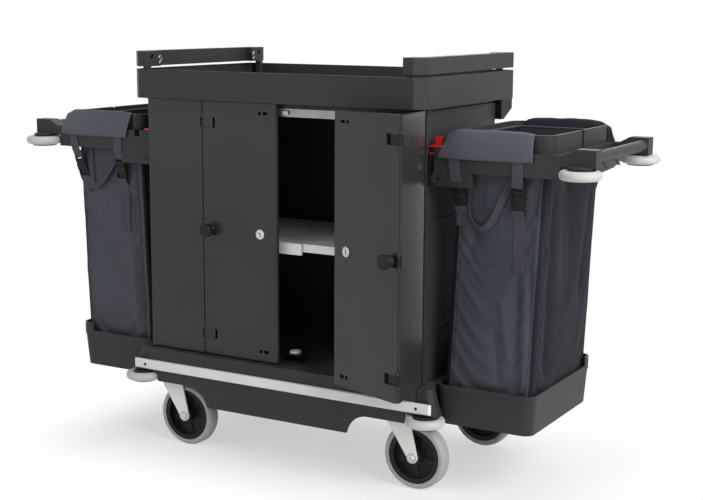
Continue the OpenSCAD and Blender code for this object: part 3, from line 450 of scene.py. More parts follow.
class Palette:
    """Every finish on the cart, built once and looked up by name."""

    FINISHES = (
        Finish("body_plastic", (0.027, 0.030, 0.029), (0.031, 0.034, 0.033), specular=0.22),
        Finish(
            "door_plastic", (0.026, 0.029, 0.028), (0.029, 0.032, 0.031), roughness=0.26, spread=0.04, depth=0.000002,
            specular=0.3, edge=0.0,
        ),
        Finish(
            "black_plastic", (0.008, 0.008, 0.008), (0.011, 0.011, 0.011), roughness=0.5, wear=(0.03, 0.03, 0.03),
            dust=0.015, edge=0.0006, specular=0.2,
        ),
        Finish(
            "bumper_plastic", (0.80, 0.80, 0.79), (0.76, 0.76, 0.75), roughness=0.4, wear=(0.7, 0.7, 0.68),
            dust=0.03, depth=0.00005, edge=0.002,
        ),
        # The bumpers' white plastic, darkened on the rings as painted shade of their lower side.
        Finish(
            "ring_plastic", (0.55, 0.55, 0.54), (0.51, 0.51, 0.50), roughness=0.45, wear=(0.5, 0.5, 0.48),
            dust=0.03, depth=0.00005, edge=0.002,
        ),
        Finish(
            "fork_enamel", (0.88, 0.86, 0.82), (0.84, 0.82, 0.78), roughness=0.3, wear=(0.5, 0.49, 0.47),
            coat=0.3, depth=0.00004, edge=0.001,
        ),
        Finish(
            "tyre_rubber", (0.42, 0.42, 0.41), (0.37, 0.37, 0.36), roughness=0.7, spread=0.2, scale=500.0,
            depth=0.0002, wear=(0.4, 0.4, 0.39), dust=0.1, edge=0.002,
        ),
        Finish(
            "zinc_steel", (0.56, 0.56, 0.56), (0.48, 0.48, 0.49), grain=Grain.BRUSHED, roughness=0.32,
            wear=(0.7, 0.7, 0.7), metallic=1.0, depth=0.00003, edge=0.0006,
        ),
        Finish(
            "rail_metal", (0.36, 0.36, 0.36), (0.31, 0.31, 0.31), grain=Grain.BRUSHED, roughness=0.42,
            wear=(0.5, 0.5, 0.5), metallic=0.6, depth=0.00003,
        ),
        Finish(
            "shelf_plastic", (0.90, 0.90, 0.89), (0.87, 0.87, 0.86), roughness=0.55, wear=(0.5, 0.5, 0.49),
            depth=0.00005,
        ),
        Finish(
            "latch_red", (0.72, 0.012, 0.008), (0.64, 0.01, 0.007), roughness=0.3, wear=(0.5, 0.05, 0.04),
            coat=0.2, specular=0.5, depth=0.00003,
        ),
        Finish(
            "bag_nylon", (0.046, 0.050, 0.066), (0.038, 0.042, 0.056), grain=Grain.WOVEN, roughness=0.55,
            spread=0.2, depth=0.0001, dust=0.01, sheen=0.05, specular=0.3,
        ),
        Finish(
            "flap_nylon", (0.076, 0.081, 0.104), (0.068, 0.072, 0.094), grain=Grain.WOVEN, roughness=0.6,
            spread=0.25, depth=0.0005, dust=0.03, sheen=0.12, specular=0.35,
        ),
        # Darker copy of the bag's nylon for the gussets: painted shade of the recessed ends under the frame.
        Finish(
            "bag_gusset", (0.011, 0.012, 0.019), (0.008, 0.009, 0.015), grain=Grain.WOVEN, roughness=0.75,
            spread=0.2, depth=0.00012, dust=0.01, sheen=0.02, specular=0.18,
        ),
        # Darker nylon for the flap's start inside the hoop: painted shade of the bag's inside.
        Finish(
            "bag_lining", (0.030, 0.031, 0.040), (0.025, 0.026, 0.034), grain=Grain.WOVEN, roughness=0.75,
            spread=0.2, depth=0.0005, dust=0.01, sheen=0.05, specular=0.2,
        ),
        Finish(
            "webbing", (0.052, 0.055, 0.072), (0.044, 0.046, 0.06), grain=Grain.WOVEN, scale=2600.0, roughness=0.7,
            depth=0.0006, dust=0.02, sheen=0.1, specular=0.3,
        ),
        Finish(
            "thread", (0.1, 0.104, 0.13), (0.085, 0.088, 0.11), grain=Grain.WOVEN, scale=9000.0, roughness=0.8,
            depth=0.0002, dust=0.0,
        ),
    )

    def __init__(self, effects: EffectLibrary) -> None:
        """Build each finish.

        Args:
            effects: Shared shader groups.
        """
        self._made = {finish.name: finish.build(effects) for finish in self.FINISHES}

    def dress(self, piece: bpy.types.Object, finish: str) -> None:
        """Give a piece one finish all over.

        Args:
            piece: Mesh object.
            finish: Name of the finish.
        """
        piece.data.materials.clear()
        piece.data.materials.append(self._made[finish])

    def dress_faces(self, piece: bpy.types.Object, finish: str, faces: list[int]) -> None:
        """Give some faces of a piece another finish.

        Args:
            piece: Mesh object that has its first finish.
            finish: Name of the other finish.
            faces: Indices of those faces.
        """
        piece.data.materials.append(self._made[finish])
        for index in faces:
            piece.data.polygons[index].material_index = len(piece.data.materials) - 1

    def dress_solid(self, solid: bpy.types.Object, finish: str) -> None:
        """Put a finish in each material slot of a CAD solid, and leave its mesh alone.

        Args:
            solid: Object of a CAD node.
            finish: Name of the finish.
        """
        for slot in solid.material_slots:
            slot.material = self._made[finish]


# Mesh making


def make_piece(
    name: str, points: list[Vector], faces: list[Corners], cloth: list[Pair] | None = None
) -> bpy.types.Object:
    """Make a smooth-shaded mesh object.

    Args:
        name: Piece's name.
        points: Vertices, in metres.
        faces: Corner indices of each face.
        cloth: Flat cloth coordinates of each vertex, in metres.

    Returns:
        The new object, in the scene.
    """
    mesh = bpy.data.meshes.new(name)
    mesh.from_pydata([tuple(p) for p in points], [], faces)
    if cloth is not None:
        layer = mesh.uv_layers.new(name="cloth")
        for loop in mesh.loops:
            layer.data[loop.index].uv = cloth[loop.vertex_index]
    mesh.polygons.foreach_set("use_smooth", [True] * len(mesh.polygons))
    mesh.validate()
    mesh.update()
    piece = bpy.data.objects.new(name, mesh)
    bpy.context.scene.collection.objects.link(piece)
    return piece


def settle_modifiers(piece: bpy.types.Object) -> None:
    """Turn a piece's modifiers into its mesh.

    Args:
        piece: Mesh object with modifiers.
    """
    bpy.context.view_layer.update()
    graph = bpy.context.evaluated_depsgraph_get()
    mesh = bpy.data.meshes.new_from_object(piece.evaluated_get(graph))
    piece.modifiers.clear()
    piece.data = mesh


def thicken(piece: bpy.types.Object, thickness: float, offset: float = -1.0, levels: int = 1) -> None:
    """Give an open sheet its thickness and smooth it.

    Args:
        piece: Sheet to thicken.
        thickness: Thickness, in metres.
        offset: Side that the thickness goes to.
        levels: Subdivision levels.
    """
    solid = piece.modifiers.new("thickness", "SOLIDIFY")
    solid.thickness = thickness
    solid.offset = offset
    if levels:
        smooth = piece.modifiers.new("smooth", "SUBSURF")
        smooth.levels = smooth.render_levels = levels
    settle_modifiers(piece)


def round_edges(piece: bpy.types.Object, width: float, segments: int = 3) -> None:
    """Round the edges of a hard fitting.

    Args:
        piece: Mesh object.
        width: Radius of the rounding, in metres.
        segments: Facets across each edge.
    """
    bevel = piece.modifiers.new("edges", "BEVEL")
    bevel.width = width
    bevel.segments = segments
    bevel.limit_method = "ANGLE"
    settle_modifiers(piece)


def quads(rows: int, columns: int, closed: bool = False) -> list[Corners]:
    """Faces of a grid of points, row after row.

    Args:
        rows: Rows of points.
        columns: Points in each row.
        closed: Whether each row's end joins its start.

    Returns:
        Corner indices of each face.
    """
    steps = [(k, (k + 1) % columns) for k in range(columns if closed else columns - 1)]
    return [
        (row * columns + a, row * columns + b, (row + 1) * columns + b, (row + 1) * columns + a)
        for row in range(rows - 1)
        for a, b in steps
    ]


def capped(rows: int, sides: int) -> list[Corners]:
    """Faces of a row of rings, closed at both ends.

    Args:
        rows: Number of rings.
        sides: Points in each ring.

    Returns:
        Corner indices of each face.
    """
    first, last = tuple(reversed(range(sides))), tuple(range((rows - 1) * sides, rows * sides))
    return [*quads(rows, sides, closed=True), first, last]


def frame_at(origin: Vector, right: Vector, up: Vector, out: Vector) -> Matrix:
    """Matrix of a local frame.

    Args:
        origin: Its place.
        right: Its X direction.
        up: Its Y direction.
        out: Its Z direction.

    Returns:
        The matrix.
    """
    return Matrix((*((right[i], up[i], out[i], origin[i]) for i in range(3)), (0.0, 0.0, 0.0, 1.0)))


def lathe(profile: list[Pair], sides: int = 28) -> Part:
    """Turn a profile about Z.

    Args:
        profile: Radius and height pairs, from one end to the other.
        sides: Facets round.

    Returns:
        Points and faces, closed at both ends.
    """
    points = [
        Vector((r * math.cos(2 * math.pi * k / sides), r * math.sin(2 * math.pi * k / sides), z))
        for r, z in profile
        for k in range(sides)
    ]
    return points, capped(len(profile), sides)


def tube(path: list[Vector], radius: float, sides: int = 10) -> Part:
    """Sweep a circle along a path.

    Args:
        path: Points along the middle.
        radius: Radius, in metres.
        sides: Facets round.

    Returns:
        Points and faces, closed at both ends.
    """
    points: list[Vector] = []
    across, steep = UP, 0.9
    for index, place in enumerate(path):
        ahead = (path[min(index + 1, len(path) - 1)] - path[max(index - 1, 0)]).normalized()
        if abs(ahead.dot(across)) > steep:
            across = Vector((0.0, 1.0, 0.0)) if abs(ahead.y) < steep else ALONG
        side = ahead.cross(across).normalized()
        across = side.cross(ahead).normalized()
        for k in range(sides):
            turn = 2 * math.pi * k / sides
            points.append(place + radius * (math.cos(turn) * side + math.sin(turn) * across))
    return points, capped(len(path), sides)


def merged(parts: list[Part]) -> Part:
    """Join several point and face lists into one.

    Args:
        parts: Point and face lists.

    Returns:
        One list of points and one of faces.
    """
    points: list[Vector] = []
    faces: list[Corners] = []
    for some_points, some_faces in parts:
        start = len(points)
        points += some_points
        faces += [tuple(start + i for i in face) for face in some_faces]
    return points, faces


def placed(part: Part, matrix: Matrix) -> Part:
    """Move a point and face list.

    Args:
        part: Points and faces.
        matrix: Where they go.

    Returns:
        The moved points, with the same faces.
    """
    points, faces = part
    if matrix.determinant() < 0:
        faces = [tuple(reversed(face)) for face in faces]
    return [matrix @ p for p in points], faces


def block(low: Point, high: Point) -> Part:
    """Points and faces of a box between two corners.

    Args:
        low: Lowest corner.
        high: Highest corner.

    Returns:
        Points and faces.
    """
    points = [Vector((x, y, z)) for x in (low[0], high[0]) for y in (low[1], high[1]) for z in (low[2], high[2])]
    faces = [(0, 1, 3, 2), (4, 6, 7, 5), (0, 4, 5, 1), (2, 3, 7, 6), (0, 2, 6, 4), (1, 5, 7, 3)]
    return points, faces


def ease(value: float, low: float, high: float) -> float:
    """Smooth step from 0 at low to 1 at high.

    Args:
        value: Value to map.
        low: Start of the step.
        high: End of the step.

    Returns:
        A number from 0 to 1.
    """
    t = min(1.0, max(0.0, (value - low) / (high - low)))
    return t * t * (3 - 2 * t)


# Bags


@dataclass(frozen=True)
class Crease:
    """A fold in a bag's wall, along a straight line on one panel.

    Attributes:
        panel: Outward direction of the panel, as signs of X and Y for the right end.
        start: Place along the panel and height, in metres.
        end: The other end of the line.
        depth: Height of the fold outwards, or inwards where negative.
        width: Half width of the fold.
    """

    panel: tuple[int, int]
    start: Pair
    end: Pair
    depth: float
    width: float

    def lift(self, along: float, height: float) -> float:
        """Outward shift at one place of the panel.

        Args:
            along: Place along the panel.
            height: Height above the floor.

        Returns:
            Shift, in metres.
        """
        ax, az = self.start
        bx, bz = self.end
        dx, dz = bx - ax, bz - az
        t = ((along - ax) * dx + (height - az) * dz) / (dx * dx + dz * dz)
        fade = ease(t, -0.12, 0.15) * (1 - ease(t, 0.85, 1.12))
        t = min(1.0, max(0.0, t))
        gap = math.hypot(along - ax - t * dx, height - az - t * dz)
        return self.depth * fade * math.exp(-((gap / self.width) ** 1.15))


@dataclass(frozen=True)
class BagFace:
    """What hangs on one long face of a bag, by place along the cart at the right end.

    Attributes:
        face: Front or rear.
        flap: Limits of the flap over the hoop.
        hem: Limits of the flap's hem.
        droop: Fall of the flap's two corners over the hoop.
        straps: Middles of the straps at the hem.
        sewn: Middles of the straps where they are sewn to the bag.
        sewn_end: Lower ends of those straps.
        loop: Places and heights along the carrying loop.
    """

    face: Face
    flap: Pair
    hem: Pair
    droop: Pair
    straps: Pair
    sewn: Pair
    sewn_end: Pair
    loop: tuple[Pair, ...]


@dataclass(frozen=True)
class Drape:
    """Settles a sheet as cloth, with some of its points held.

    Attributes:
        growth: Share that the cloth grows by, so that it buckles.
        frames: Steps of the simulation.
        cap: Furthest that a point may move, in metres.
    """

    growth: float
    frames: int
    cap: float

    NYLON: ClassVar[dict[str, float]] = {
        "quality": 5, "mass": 0.2, "tension_stiffness": 18.0, "compression_stiffness": 18.0, "shear_stiffness": 6.0,
        "bending_stiffness": 0.8, "air_damping": 2.0,
    }

    def run(self, piece: bpy.types.Object, held: list[int]) -> None:
        """Simulate, and keep the result as the piece's mesh.

        Args:
            piece: Sheet to settle.
            held: Points that stay where they are.
        """
        scene = bpy.context.scene
        before = [v.co.copy() for v in piece.data.vertices]
        group = piece.vertex_groups.new(name="held")
        group.add(held, 1.0, "REPLACE")
        cloth = piece.modifiers.new("drape", "CLOTH")
        for name, value in {**self.NYLON, "vertex_group_mass": "held", "shrink_min": -self.growth}.items():
            setattr(cloth.settings, name, value)
        cloth.collision_settings.use_collision = False
        cloth.point_cache.frame_start = 1
        cloth.point_cache.frame_end = self.frames
        for frame in range(1, self.frames + 1):
            scene.frame_set(frame)
        graph = bpy.context.evaluated_depsgraph_get()
        after = [v.co.copy() for v in piece.evaluated_get(graph).data.vertices]
        piece.modifiers.remove(cloth)
        piece.vertex_groups.clear()
        for vertex, old, new in zip(piece.data.vertices, before, after):
            move = new - old
            if move.length > self.cap:
                move *= self.cap / move.length
            vertex.co = old + move
        scene.frame_set(1)
        piece.data.update()


@dataclass
class LinenBag:
    """One fabric bag with its flaps, straps, buckles, carrying loops, seams and stitches.

    The bag is laid out for the right end. The left one is the same bag, turned half round.

    Attributes:
        end: End of the cart.
        palette: Finishes.
        columns: Points round the bag.
        rows: Points up the bag.
        foot_x: Inner and outer limits along the cart at the foot.
        mouth_x: The same at the mouth.
        foot_y: Half width at the foot.
        mouth_y: Half width at the mouth.
        corner: Corner radius.
        wall: Thickness of the cloth.
        faces: What hangs on the two long faces.
        strap_width: Width of the straps.
        buckle_z: Upper and lower ends of the buckles.
        sewn_line: Height of the stitches across the longer sewn straps.
        room: Furthest that a fold may stand out, so that the folded bag stays in its tray.
        bow: Furthest that a wall bows out.
        bow_half: Half lengths of the bowed walls, at the ends and along the cart.
        free_rim: Heights about the tray's rim between which the cloth comes free.
        free_top: Shares of the bag's height between which it is held again.
        gusset_turn: Least share of X in the outward direction of the gussets, whose darker finish is painted shade.
        corner_turn: Limits of that share at the corners, which are held.
        drape: How the cloth is settled.
        keep: Share of its height that the bag keeps when its frame is folded; not used.
        fold_x: Middle of the end tray along the cart, which the bag folds down to; not used.
        arm_out: Reach of the frame's arms past the hoop.
        mouth_drop: Fall of the mouth below the hoop's top.
        tray_rise: Height of the end tray's rim above its underside.
        seams: Places of the seams, as shares of the way round.
        stitched: Places of the stitches beside them.
        stitch_from: Height of the lowest of those stitches.
        pitch: Length of a stitch with its gap.
        stitch_in: Reach of a strap's stitches from its middle.
        stitch_out: Lift of a strap's stitches off the bag.
        creases: Folds in the bag's walls.
        pieces: The pieces made so far.
    """

    end: End
    palette: Palette
    columns: int = 216
    rows: int = 136
    foot_x: Pair = (0.4255, 0.6425)
    mouth_x: Pair = (0.4540, 0.6720)
    foot_y: float = 0.1705
    mouth_y: float = 0.1660
    corner: float = 0.014
    wall: float = 0.0022
    faces: tuple[BagFace, ...] = (
        BagFace(
            Face.FRONT, (0.434, 0.644), (0.414, 0.647), (0.010, 0.002), (0.4545, 0.6105), (0.4660, 0.6060),
            (0.634, 0.539),
            ((0.488, 0.766), (0.484, 0.735), (0.481, 0.685), (0.491, 0.648), (0.514, 0.632), (0.541, 0.648),
             (0.577, 0.725), (0.590, 0.766)),
        ),
        BagFace(
            Face.REAR, (0.472, 0.689), (0.480, 0.699), (0.002, 0.010), (0.5115, 0.6600), (0.5105, 0.6390),
            (0.539, 0.634),
            ((0.625, 0.766), (0.6235, 0.735), (0.622, 0.690), (0.614, 0.655), (0.588, 0.662), (0.558, 0.696),
             (0.534, 0.735), (0.523, 0.766)),
        ),
    )
    strap_width: float = 0.026
    buckle_z: Pair = (0.736, 0.677)
    sewn_line: float = 0.6325
    room: float = 0.0050
    bow: float = 0.002
    bow_half: Pair = (0.17, 0.11)
    free_rim: Pair = (-0.03, 0.05)
    free_top: Pair = (0.88, 0.98)
    gusset_turn: float = 0.2
    corner_turn: Pair = (0.05, 0.995)
    drape: Drape = Drape(growth=0.004, frames=24, cap=0.012)
    keep: float = 0.22
    fold_x: float = 0.534
    arm_out: float = 0.012
    mouth_drop: float = 0.012
    tray_rise: float = 0.094
    seams: tuple[float, ...] = (0.170, 0.336, 0.664, 0.830)
    stitched: tuple[float, ...] = (0.178, 0.328, 0.672, 0.822)
    stitch_from: float = 0.262
    pitch: float = 0.006
    stitch_in: float = 0.0105
    stitch_out: float = 0.0028
    creases: tuple[Crease, ...] = (
        Crease((1, 0), (-0.022, 0.76), (0.004, 0.46), -0.0195, 0.046),
        Crease((1, 0), (-0.026, 0.72), (0.002, 0.47), 0.0105, 0.018),
        Crease((1, 0), (0.034, 0.46), (-0.016, 0.41), 0.0075, 0.010),
        Crease((1, 0), (0.024, 0.39), (-0.088, 0.26), 0.009, 0.012),
        Crease((1, 0), (-0.112, 0.72), (-0.100, 0.28), -0.009, 0.020),
        Crease((1, 0), (0.118, 0.70), (0.086, 0.44), -0.0075, 0.018),
        Crease((1, 0), (0.060, 0.24), (0.130, 0.46), 0.006, 0.016),
        Crease((1, 0), (-0.060, 0.54), (-0.142, 0.585), 0.006, 0.010),
        Crease((0, -1), (0.650, 0.740), (0.639, 0.668), -0.006, 0.007),
        Crease((0, -1), (0.646, 0.660), (0.655, 0.566), 0.0075, 0.013),
        Crease((0, -1), (0.640, 0.558), (0.668, 0.552), 0.006, 0.006),
        Crease((0, -1), (0.446, 0.546), (0.598, 0.544), -0.0033, 0.008),
        Crease((0, -1), (0.604, 0.530), (0.602, 0.230), -0.0053, 0.011),
        Crease((0, -1), (0.624, 0.530), (0.626, 0.230), 0.0053, 0.010),
        Crease((0, -1), (0.637, 0.540), (0.643, 0.240), -0.006, 0.006),
        Crease((0, -1), (0.566, 0.470), (0.588, 0.330), 0.0042, 0.009),
        Crease((0, -1), (0.548, 0.400), (0.566, 0.270), -0.0036, 0.009),
        Crease((0, -1), (0.530, 0.735), (0.541, 0.672), 0.0075, 0.020),
        Crease((0, -1), (0.500, 0.622), (0.486, 0.575), -0.0036, 0.012),
        Crease((0, -1), (0.628, 0.742), (0.622, 0.690), 0.006, 0.009),
        Crease((0, 1), (0.480, 0.700), (0.488, 0.650), 0.0075, 0.010),
        Crease((0, 1), (0.488, 0.640), (0.474, 0.532), -0.0075, 0.012),
        Crease((0, 1), (0.476, 0.520), (0.447, 0.320), -0.006, 0.010),
        Crease((0, 1), (0.492, 0.500), (0.470, 0.260), 0.0045, 0.012),
        Crease((0, 1), (0.464, 0.534), (0.606, 0.538), -0.0033, 0.009),
        Crease((0, 1), (0.640, 0.580), (0.600, 0.500), -0.0045, 0.014),
        Crease((0, 1), (0.640, 0.440), (0.560, 0.330), 0.0045, 0.016),
        Crease((0, 1), (0.560, 0.640), (0.590, 0.570), 0.0037, 0.014),
        Crease((-1, 0), (0.020, 0.24), (-0.010, 0.76), -0.0165, 0.044),
        Crease((-1, 0), (0.090, 0.30), (0.060, 0.62), 0.0075, 0.016),
        Crease((-1, 0), (-0.020, 0.40), (-0.110, 0.28), 0.0075, 0.014),
    )
    pieces: list[bpy.types.Object] = field(default_factory=list)

    def build(self) -> None:
        """Make every soft piece of this bag."""
        self.node = f"{self.end.word}_bag"
        hoop_low, hoop_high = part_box(f"{self.end.word}_hoop")
        tray_low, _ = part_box(f"{self.end.word}_end_tray")
        self.arm_top = hoop_low[2]
        self.hoop_top = hoop_high[2]
        self.hoop_half = hoop_high[1]
        self.arm_half = self.hoop_half + self.arm_out
        self.foot_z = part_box(self.node)[0][2]
        self.mouth_z = self.hoop_top - self.mouth_drop
        self.rim_z = tray_low[2] + self.tray_rise
        shell = self._shell()
        self._seams()
        self._stitches()
        for side in self.faces:
            self._flap(side)
            for number in range(len(side.straps)):
                self._hanging_strap(side, number)
                self._buckle(side, number)
                self._sewn_strap(side, number)
            self._carrying_loop(side)
        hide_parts(self.node)
        for piece in self.pieces:
            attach(piece, "cart")
            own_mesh(piece)
            LOG.info("%s: %d points", piece.name, len(piece.data.vertices))

    def _word(self, side: BagFace) -> str:
        """Name of the cart's face that one of the bag's faces looks to."""
        return Face(side.face.value * self.end.value).word

    def _add(self, name: str, part: Part, finish: str, cloth: list[Pair] | None = None) -> bpy.types.Object:
        """Make a piece from right-end points, turned to this end.

        Args:
            name: Name after the end's word.
            part: Points and faces for the right end.
            finish: Finish's name.
            cloth: Flat cloth coordinates.

        Returns:
            The piece.
        """
        points, faces = placed(part, Matrix.Diagonal((self.end.value, self.end.value, 1.0, 1.0)))
        piece = make_piece(f"{self.end.word}_{name}", points, faces, cloth)
        self.palette.dress(piece, finish)
        self.pieces.append(piece)
        return piece

    def _outline(self, t: float) -> list[tuple[Vector, Vector, float]]:
        """Points round the bag at one height, from the middle of the cabinet's side.

        Args:
            t: Height from 0 at the foot to 1 at the mouth.

        Returns:
            Place in X and Y, outward direction, and length along the cloth, for each column.
        """
        x0 = self.foot_x[0] + (self.mouth_x[0] - self.foot_x[0]) * t
        x1 = self.foot_x[1] + (self.mouth_x[1] - self.foot_x[1]) * t
        half = self.foot_y + (self.mouth_y - self.foot_y) * t
        r = self.corner
        runs = [
            (Vector((x0, 0, 0)), Vector((x0, -half + r, 0)), None),
            (Vector((x0 + r, -half + r, 0)), None, math.pi),
            (Vector((x0 + r, -half, 0)), Vector((x1 - r, -half, 0)), None),
            (Vector((x1 - r, -half + r, 0)), None, 1.5 * math.pi),
            (Vector((x1, -half + r, 0)), Vector((x1, half - r, 0)), None),
            (Vector((x1 - r, half - r, 0)), None, 2 * math.pi),
            (Vector((x1 - r, half, 0)), Vector((x0 + r, half, 0)), None),
            (Vector((x0 + r, half - r, 0)), None, 2.5 * math.pi),
            (Vector((x0, half - r, 0)), Vector((x0, 0, 0)), None),
        ]
        lengths = [r * math.pi / 2 if turn is not None else (b - a).length for a, b, turn in runs]
        total = sum(lengths)
        found = []
        for k in range(self.columns):
            want = total * k / self.columns
            run = 0
            while want > lengths[run]:
                want -= lengths[run]
                run += 1
            a, b, turn = runs[run]
            share = want / lengths[run]
            if turn is None:
                place = a.lerp(b, share)
                out = Vector(((b - a).y, -(b - a).x, 0)).normalized()
            else:
                angle = turn + share * math.pi / 2
                out = Vector((math.cos(angle), math.sin(angle), 0))
                place = a + r * out
            found.append((place, out, total * k / self.columns))
        return found

    def _folds(self, place: Vector, out: Vector, height: float) -> float:
        """Sum of all folds at one place.

        Args:
            place: Place in X and Y.
            out: Outward direction there.
            height: Height above the floor.

        Returns:
            Outward shift, in metres.
        """
        shift, least, most = 0.0, 0.05, 0.95
        for crease in self.creases:
            facing = out.x * crease.panel[0] + out.y * crease.panel[1]
            along = place.y if crease.panel[0] else place.x
            if facing > least:
                shift += ease(facing, least, most) * crease.lift(along, height)
        return shift

    def _layout(self) -> tuple[list[Vector], list[Pair], list[tuple[Vector, Vector, float]]]:
        """Lay out the bag's walls.

        Returns:
            Points of the bowed walls for the right end, and their cloth coordinates. Then, at this end and for each
            point, its place on the plain wall, the outward direction there and the shift of the folds.
        """
        points, cloth, relief = [], [], []
        rise, turn = self.mouth_z - self.foot_z, self.end.value
        for row in range(self.rows):
            t = row / (self.rows - 1)
            height = self.foot_z + rise * t
            free = ease(height, self.rim_z + self.free_rim[0], self.rim_z + self.free_rim[1])
            loose = free * (1 - ease(t, *self.free_top))
            outline = self._outline(t)
            middle = (min(p.x for p, _, _ in outline) + max(p.x for p, _, _ in outline)) / 2
            for place, out, length in outline:
                at_end = abs(out.x) > 0.7
                across = place.y / self.bow_half[0] if at_end else (place.x - middle) / self.bow_half[1]
                bow = self.bow * loose * max(0.0, math.cos(across * math.pi / 2))
                points.append(place + bow * out + Vector((0, 0, height)))
                cloth.append((length, height))
                base = Vector((turn * place.x, turn * place.y, height))
                relief.append((base, turn * out, self._folds(place, out, height) * loose))
        return points, cloth, relief

    def _foot(self, points: list[Vector], cloth: list[Pair]) -> list[Corners]:
        """Close the bag's foot with rings round its middle.

        Args:
            points: Points of the walls, which those of the foot are added to.
            cloth: Their cloth coordinates, which are added to as well.

        Returns:
            The foot's faces.
        """
        n, rings, last = self.columns, 7, 0
        centre = Vector((sum(self.foot_x) / 2, 0, self.foot_z))
        faces: list[Corners] = []
        for ring in range(1, rings):
            start = len(points)
            for k in range(n):
                points.append(points[k].lerp(centre, ring / rings))
                cloth.append((points[-1].x, points[-1].y))
            faces += [(start + k, start + (k + 1) % n, last + (k + 1) % n, last + k) for k in range(n)]
            last = start
        points.append(centre)
        cloth.append((centre.x, centre.y))
        return faces + [(len(points) - 1, last + (k + 1) % n, last + k) for k in range(n)]

    def _shell(self) -> bpy.types.Object:
        """The bag itself: a lofted shell, settled as cloth between its hoop and its tray, then creased.

        Returns:
            The bag's piece.
        """
        points, cloth, relief = self._layout()
        n, turn = self.columns, self.end.value
        faces = quads(self.rows, n, closed=True) + self._foot(points, cloth)
        shell = self._add("bag_shell", (points, faces), "bag_nylon", cloth)
        facing = [abs(out.x) for _, out, _ in self._outline(0.5)]
        # The gussets' faces get the darker finish as painted shade.
        gusset = [r * n + k for r in range(self.rows - 1) for k in range(n) if facing[k] > self.gusset_turn]
        self.palette.dress_faces(shell, "bag_gusset", gusset)
        low, high = self.rim_z - 0.02, self.arm_top - 0.03
        least, most = self.corner_turn
        held = [
            i for i, p in enumerate(points)
            if p.z < low or p.z > high or (i < n * self.rows and least < facing[i % n] < most)
        ]
        self.drape.run(shell, held)
        for vertex, (base, out, shift) in zip(shell.data.vertices, relief):
            past = (vertex.co - base).dot(out) + shift
            if past > 0.0:
                shift += self.room * math.tanh(past / self.room) - past
            vertex.co += shift * out
        settled = [Vector((turn * v.co.x, turn * v.co.y, v.co.z)) for v in shell.data.vertices]
        self.grid = [settled[r * n:(r + 1) * n] for r in range(self.rows)]
        thicken(shell, self.wall, levels=0)
        return shell

    def _on_shell(self, column: int, height: float, out: float) -> Vector:
        """A place on the settled bag, lifted off its face.

        Args:
            column: Column of the bag's grid.
            height: Height above the floor.
            out: Lift off the face.

        Returns:
            The place, for the right end.
        """
        share = (height - self.foot_z) / (self.mouth_z - self.foot_z) * (self.rows - 1)
        row = min(self.rows - 2, max(0, int(share)))
        here = self.grid[row][column % self.columns].lerp(self.grid[row + 1][column % self.columns], share - row)
        before = self.grid[row][(column - 1) % self.columns]
        after = self.grid[row][(column + 1) % self.columns]
        along = after - before
        return here + out * Vector((along.y, -along.x, 0)).normalized()

    def _column_at(self, face: Face, x: float, height: float) -> float:
        """Column of the bag's grid at one place along the cart, on the front or the rear.

        Args:
            face: Front or rear of the bag.
            x: Place along the cart, for the right end.
            height: Height above the floor.

        Returns:
            The column, with its share to the next one.
        """
        share = (height - self.foot_z) / (self.mouth_z - self.foot_z) * (self.rows - 1)
        line = self.grid[min(self.rows - 1, max(0, round(share)))]
        best = 0.0
        for k in range(self.columns):
            a, b = line[k], line[(k + 1) % self.columns]
            if a.y * face.value > 0.1 and b.y * face.value > 0.1 and min(a.x, b.x) <= x <= max(a.x, b.x):
                best = k + (x - a.x) / (b.x - a.x)
        return best

    def _at(self, face: Face, x: float, height: float, out: float) -> Vector:
        """A place on the bag's front or rear.

        Args:
            face: Front or rear of the bag.
            x: Place along the cart, for the right end.
            height: Height above the floor.
            out: Lift off the face.

        Returns:
            The place, for the right end.
        """
        column = self._column_at(face, x, height)
        first = self._on_shell(int(column), height, out)
        second = self._on_shell(int(column) + 1, height, out)
        return first.lerp(second, column - int(column))

    def _seams(self) -> None:
        """Raised seams where the long panels meet the ends, and a binding round the mouth."""
        for number, share in enumerate(self.seams):
            column, steps = round(self.columns * share), 60
            low, rise = self.rim_z - 0.012, self.arm_top - 0.05 - self.rim_z
            path = [self._on_shell(column, low + rise * k / steps, 0.0004) for k in range(steps + 1)]
            self._add(f"bag_seam_{number}", tube(path, 0.0013, 8), "bag_nylon")
        rim = [self._on_shell(k, self.mouth_z - 0.001, -0.001) for k in range(self.columns)]
        self._add("bag_mouth_binding", tube(rim + rim[:2], 0.0028, 8), "webbing")

    def _stitches(self) -> None:
        """Rows of stitches beside the seams and on the sewn straps."""
        lines = []
        for share in self.stitched:
            column, count = round(self.columns * share), 80
            lines.append([self._on_shell(column, self.stitch_from + self.pitch * k, 0.0005) for k in range(count)])
        for side in self.faces:
            for x, low in zip(side.sewn, side.sewn_end):
                if low > self.sewn_line:
                    continue
                first, count = low + 0.004, int((self.sewn_line - low) / self.pitch)
                for edge in (-self.stitch_in, self.stitch_in):
                    heights = [first + self.pitch * k for k in range(count)]
                    lines.append([self._at(side.face, x + edge, z, self.stitch_out) for z in heights])
                for z in (first, self.sewn_line):
                    places = [x - self.stitch_in + 0.0035 * k for k in range(7)]
                    lines.append([self._at(side.face, place, z, self.stitch_out) for place in places])
        self._add("bag_stitches", merged(self._dashes(lines, 0.0005)), "thread")

    @staticmethod
    def _dashes(lines: list[list[Vector]], radius: float) -> list[Part]:
        """Short threads along lines of points.

        Args:
            lines: Lines of points.
            radius: Radius of the thread.

        Returns:
            Point and face lists, one for each stitch.
        """
        return [
            tube([a.lerp(b, 0.2), a.lerp(b, 0.5), a.lerp(b, 0.8)], radius, 5)
            for line in lines
            for a, b in zip(line, line[1:])
        ]

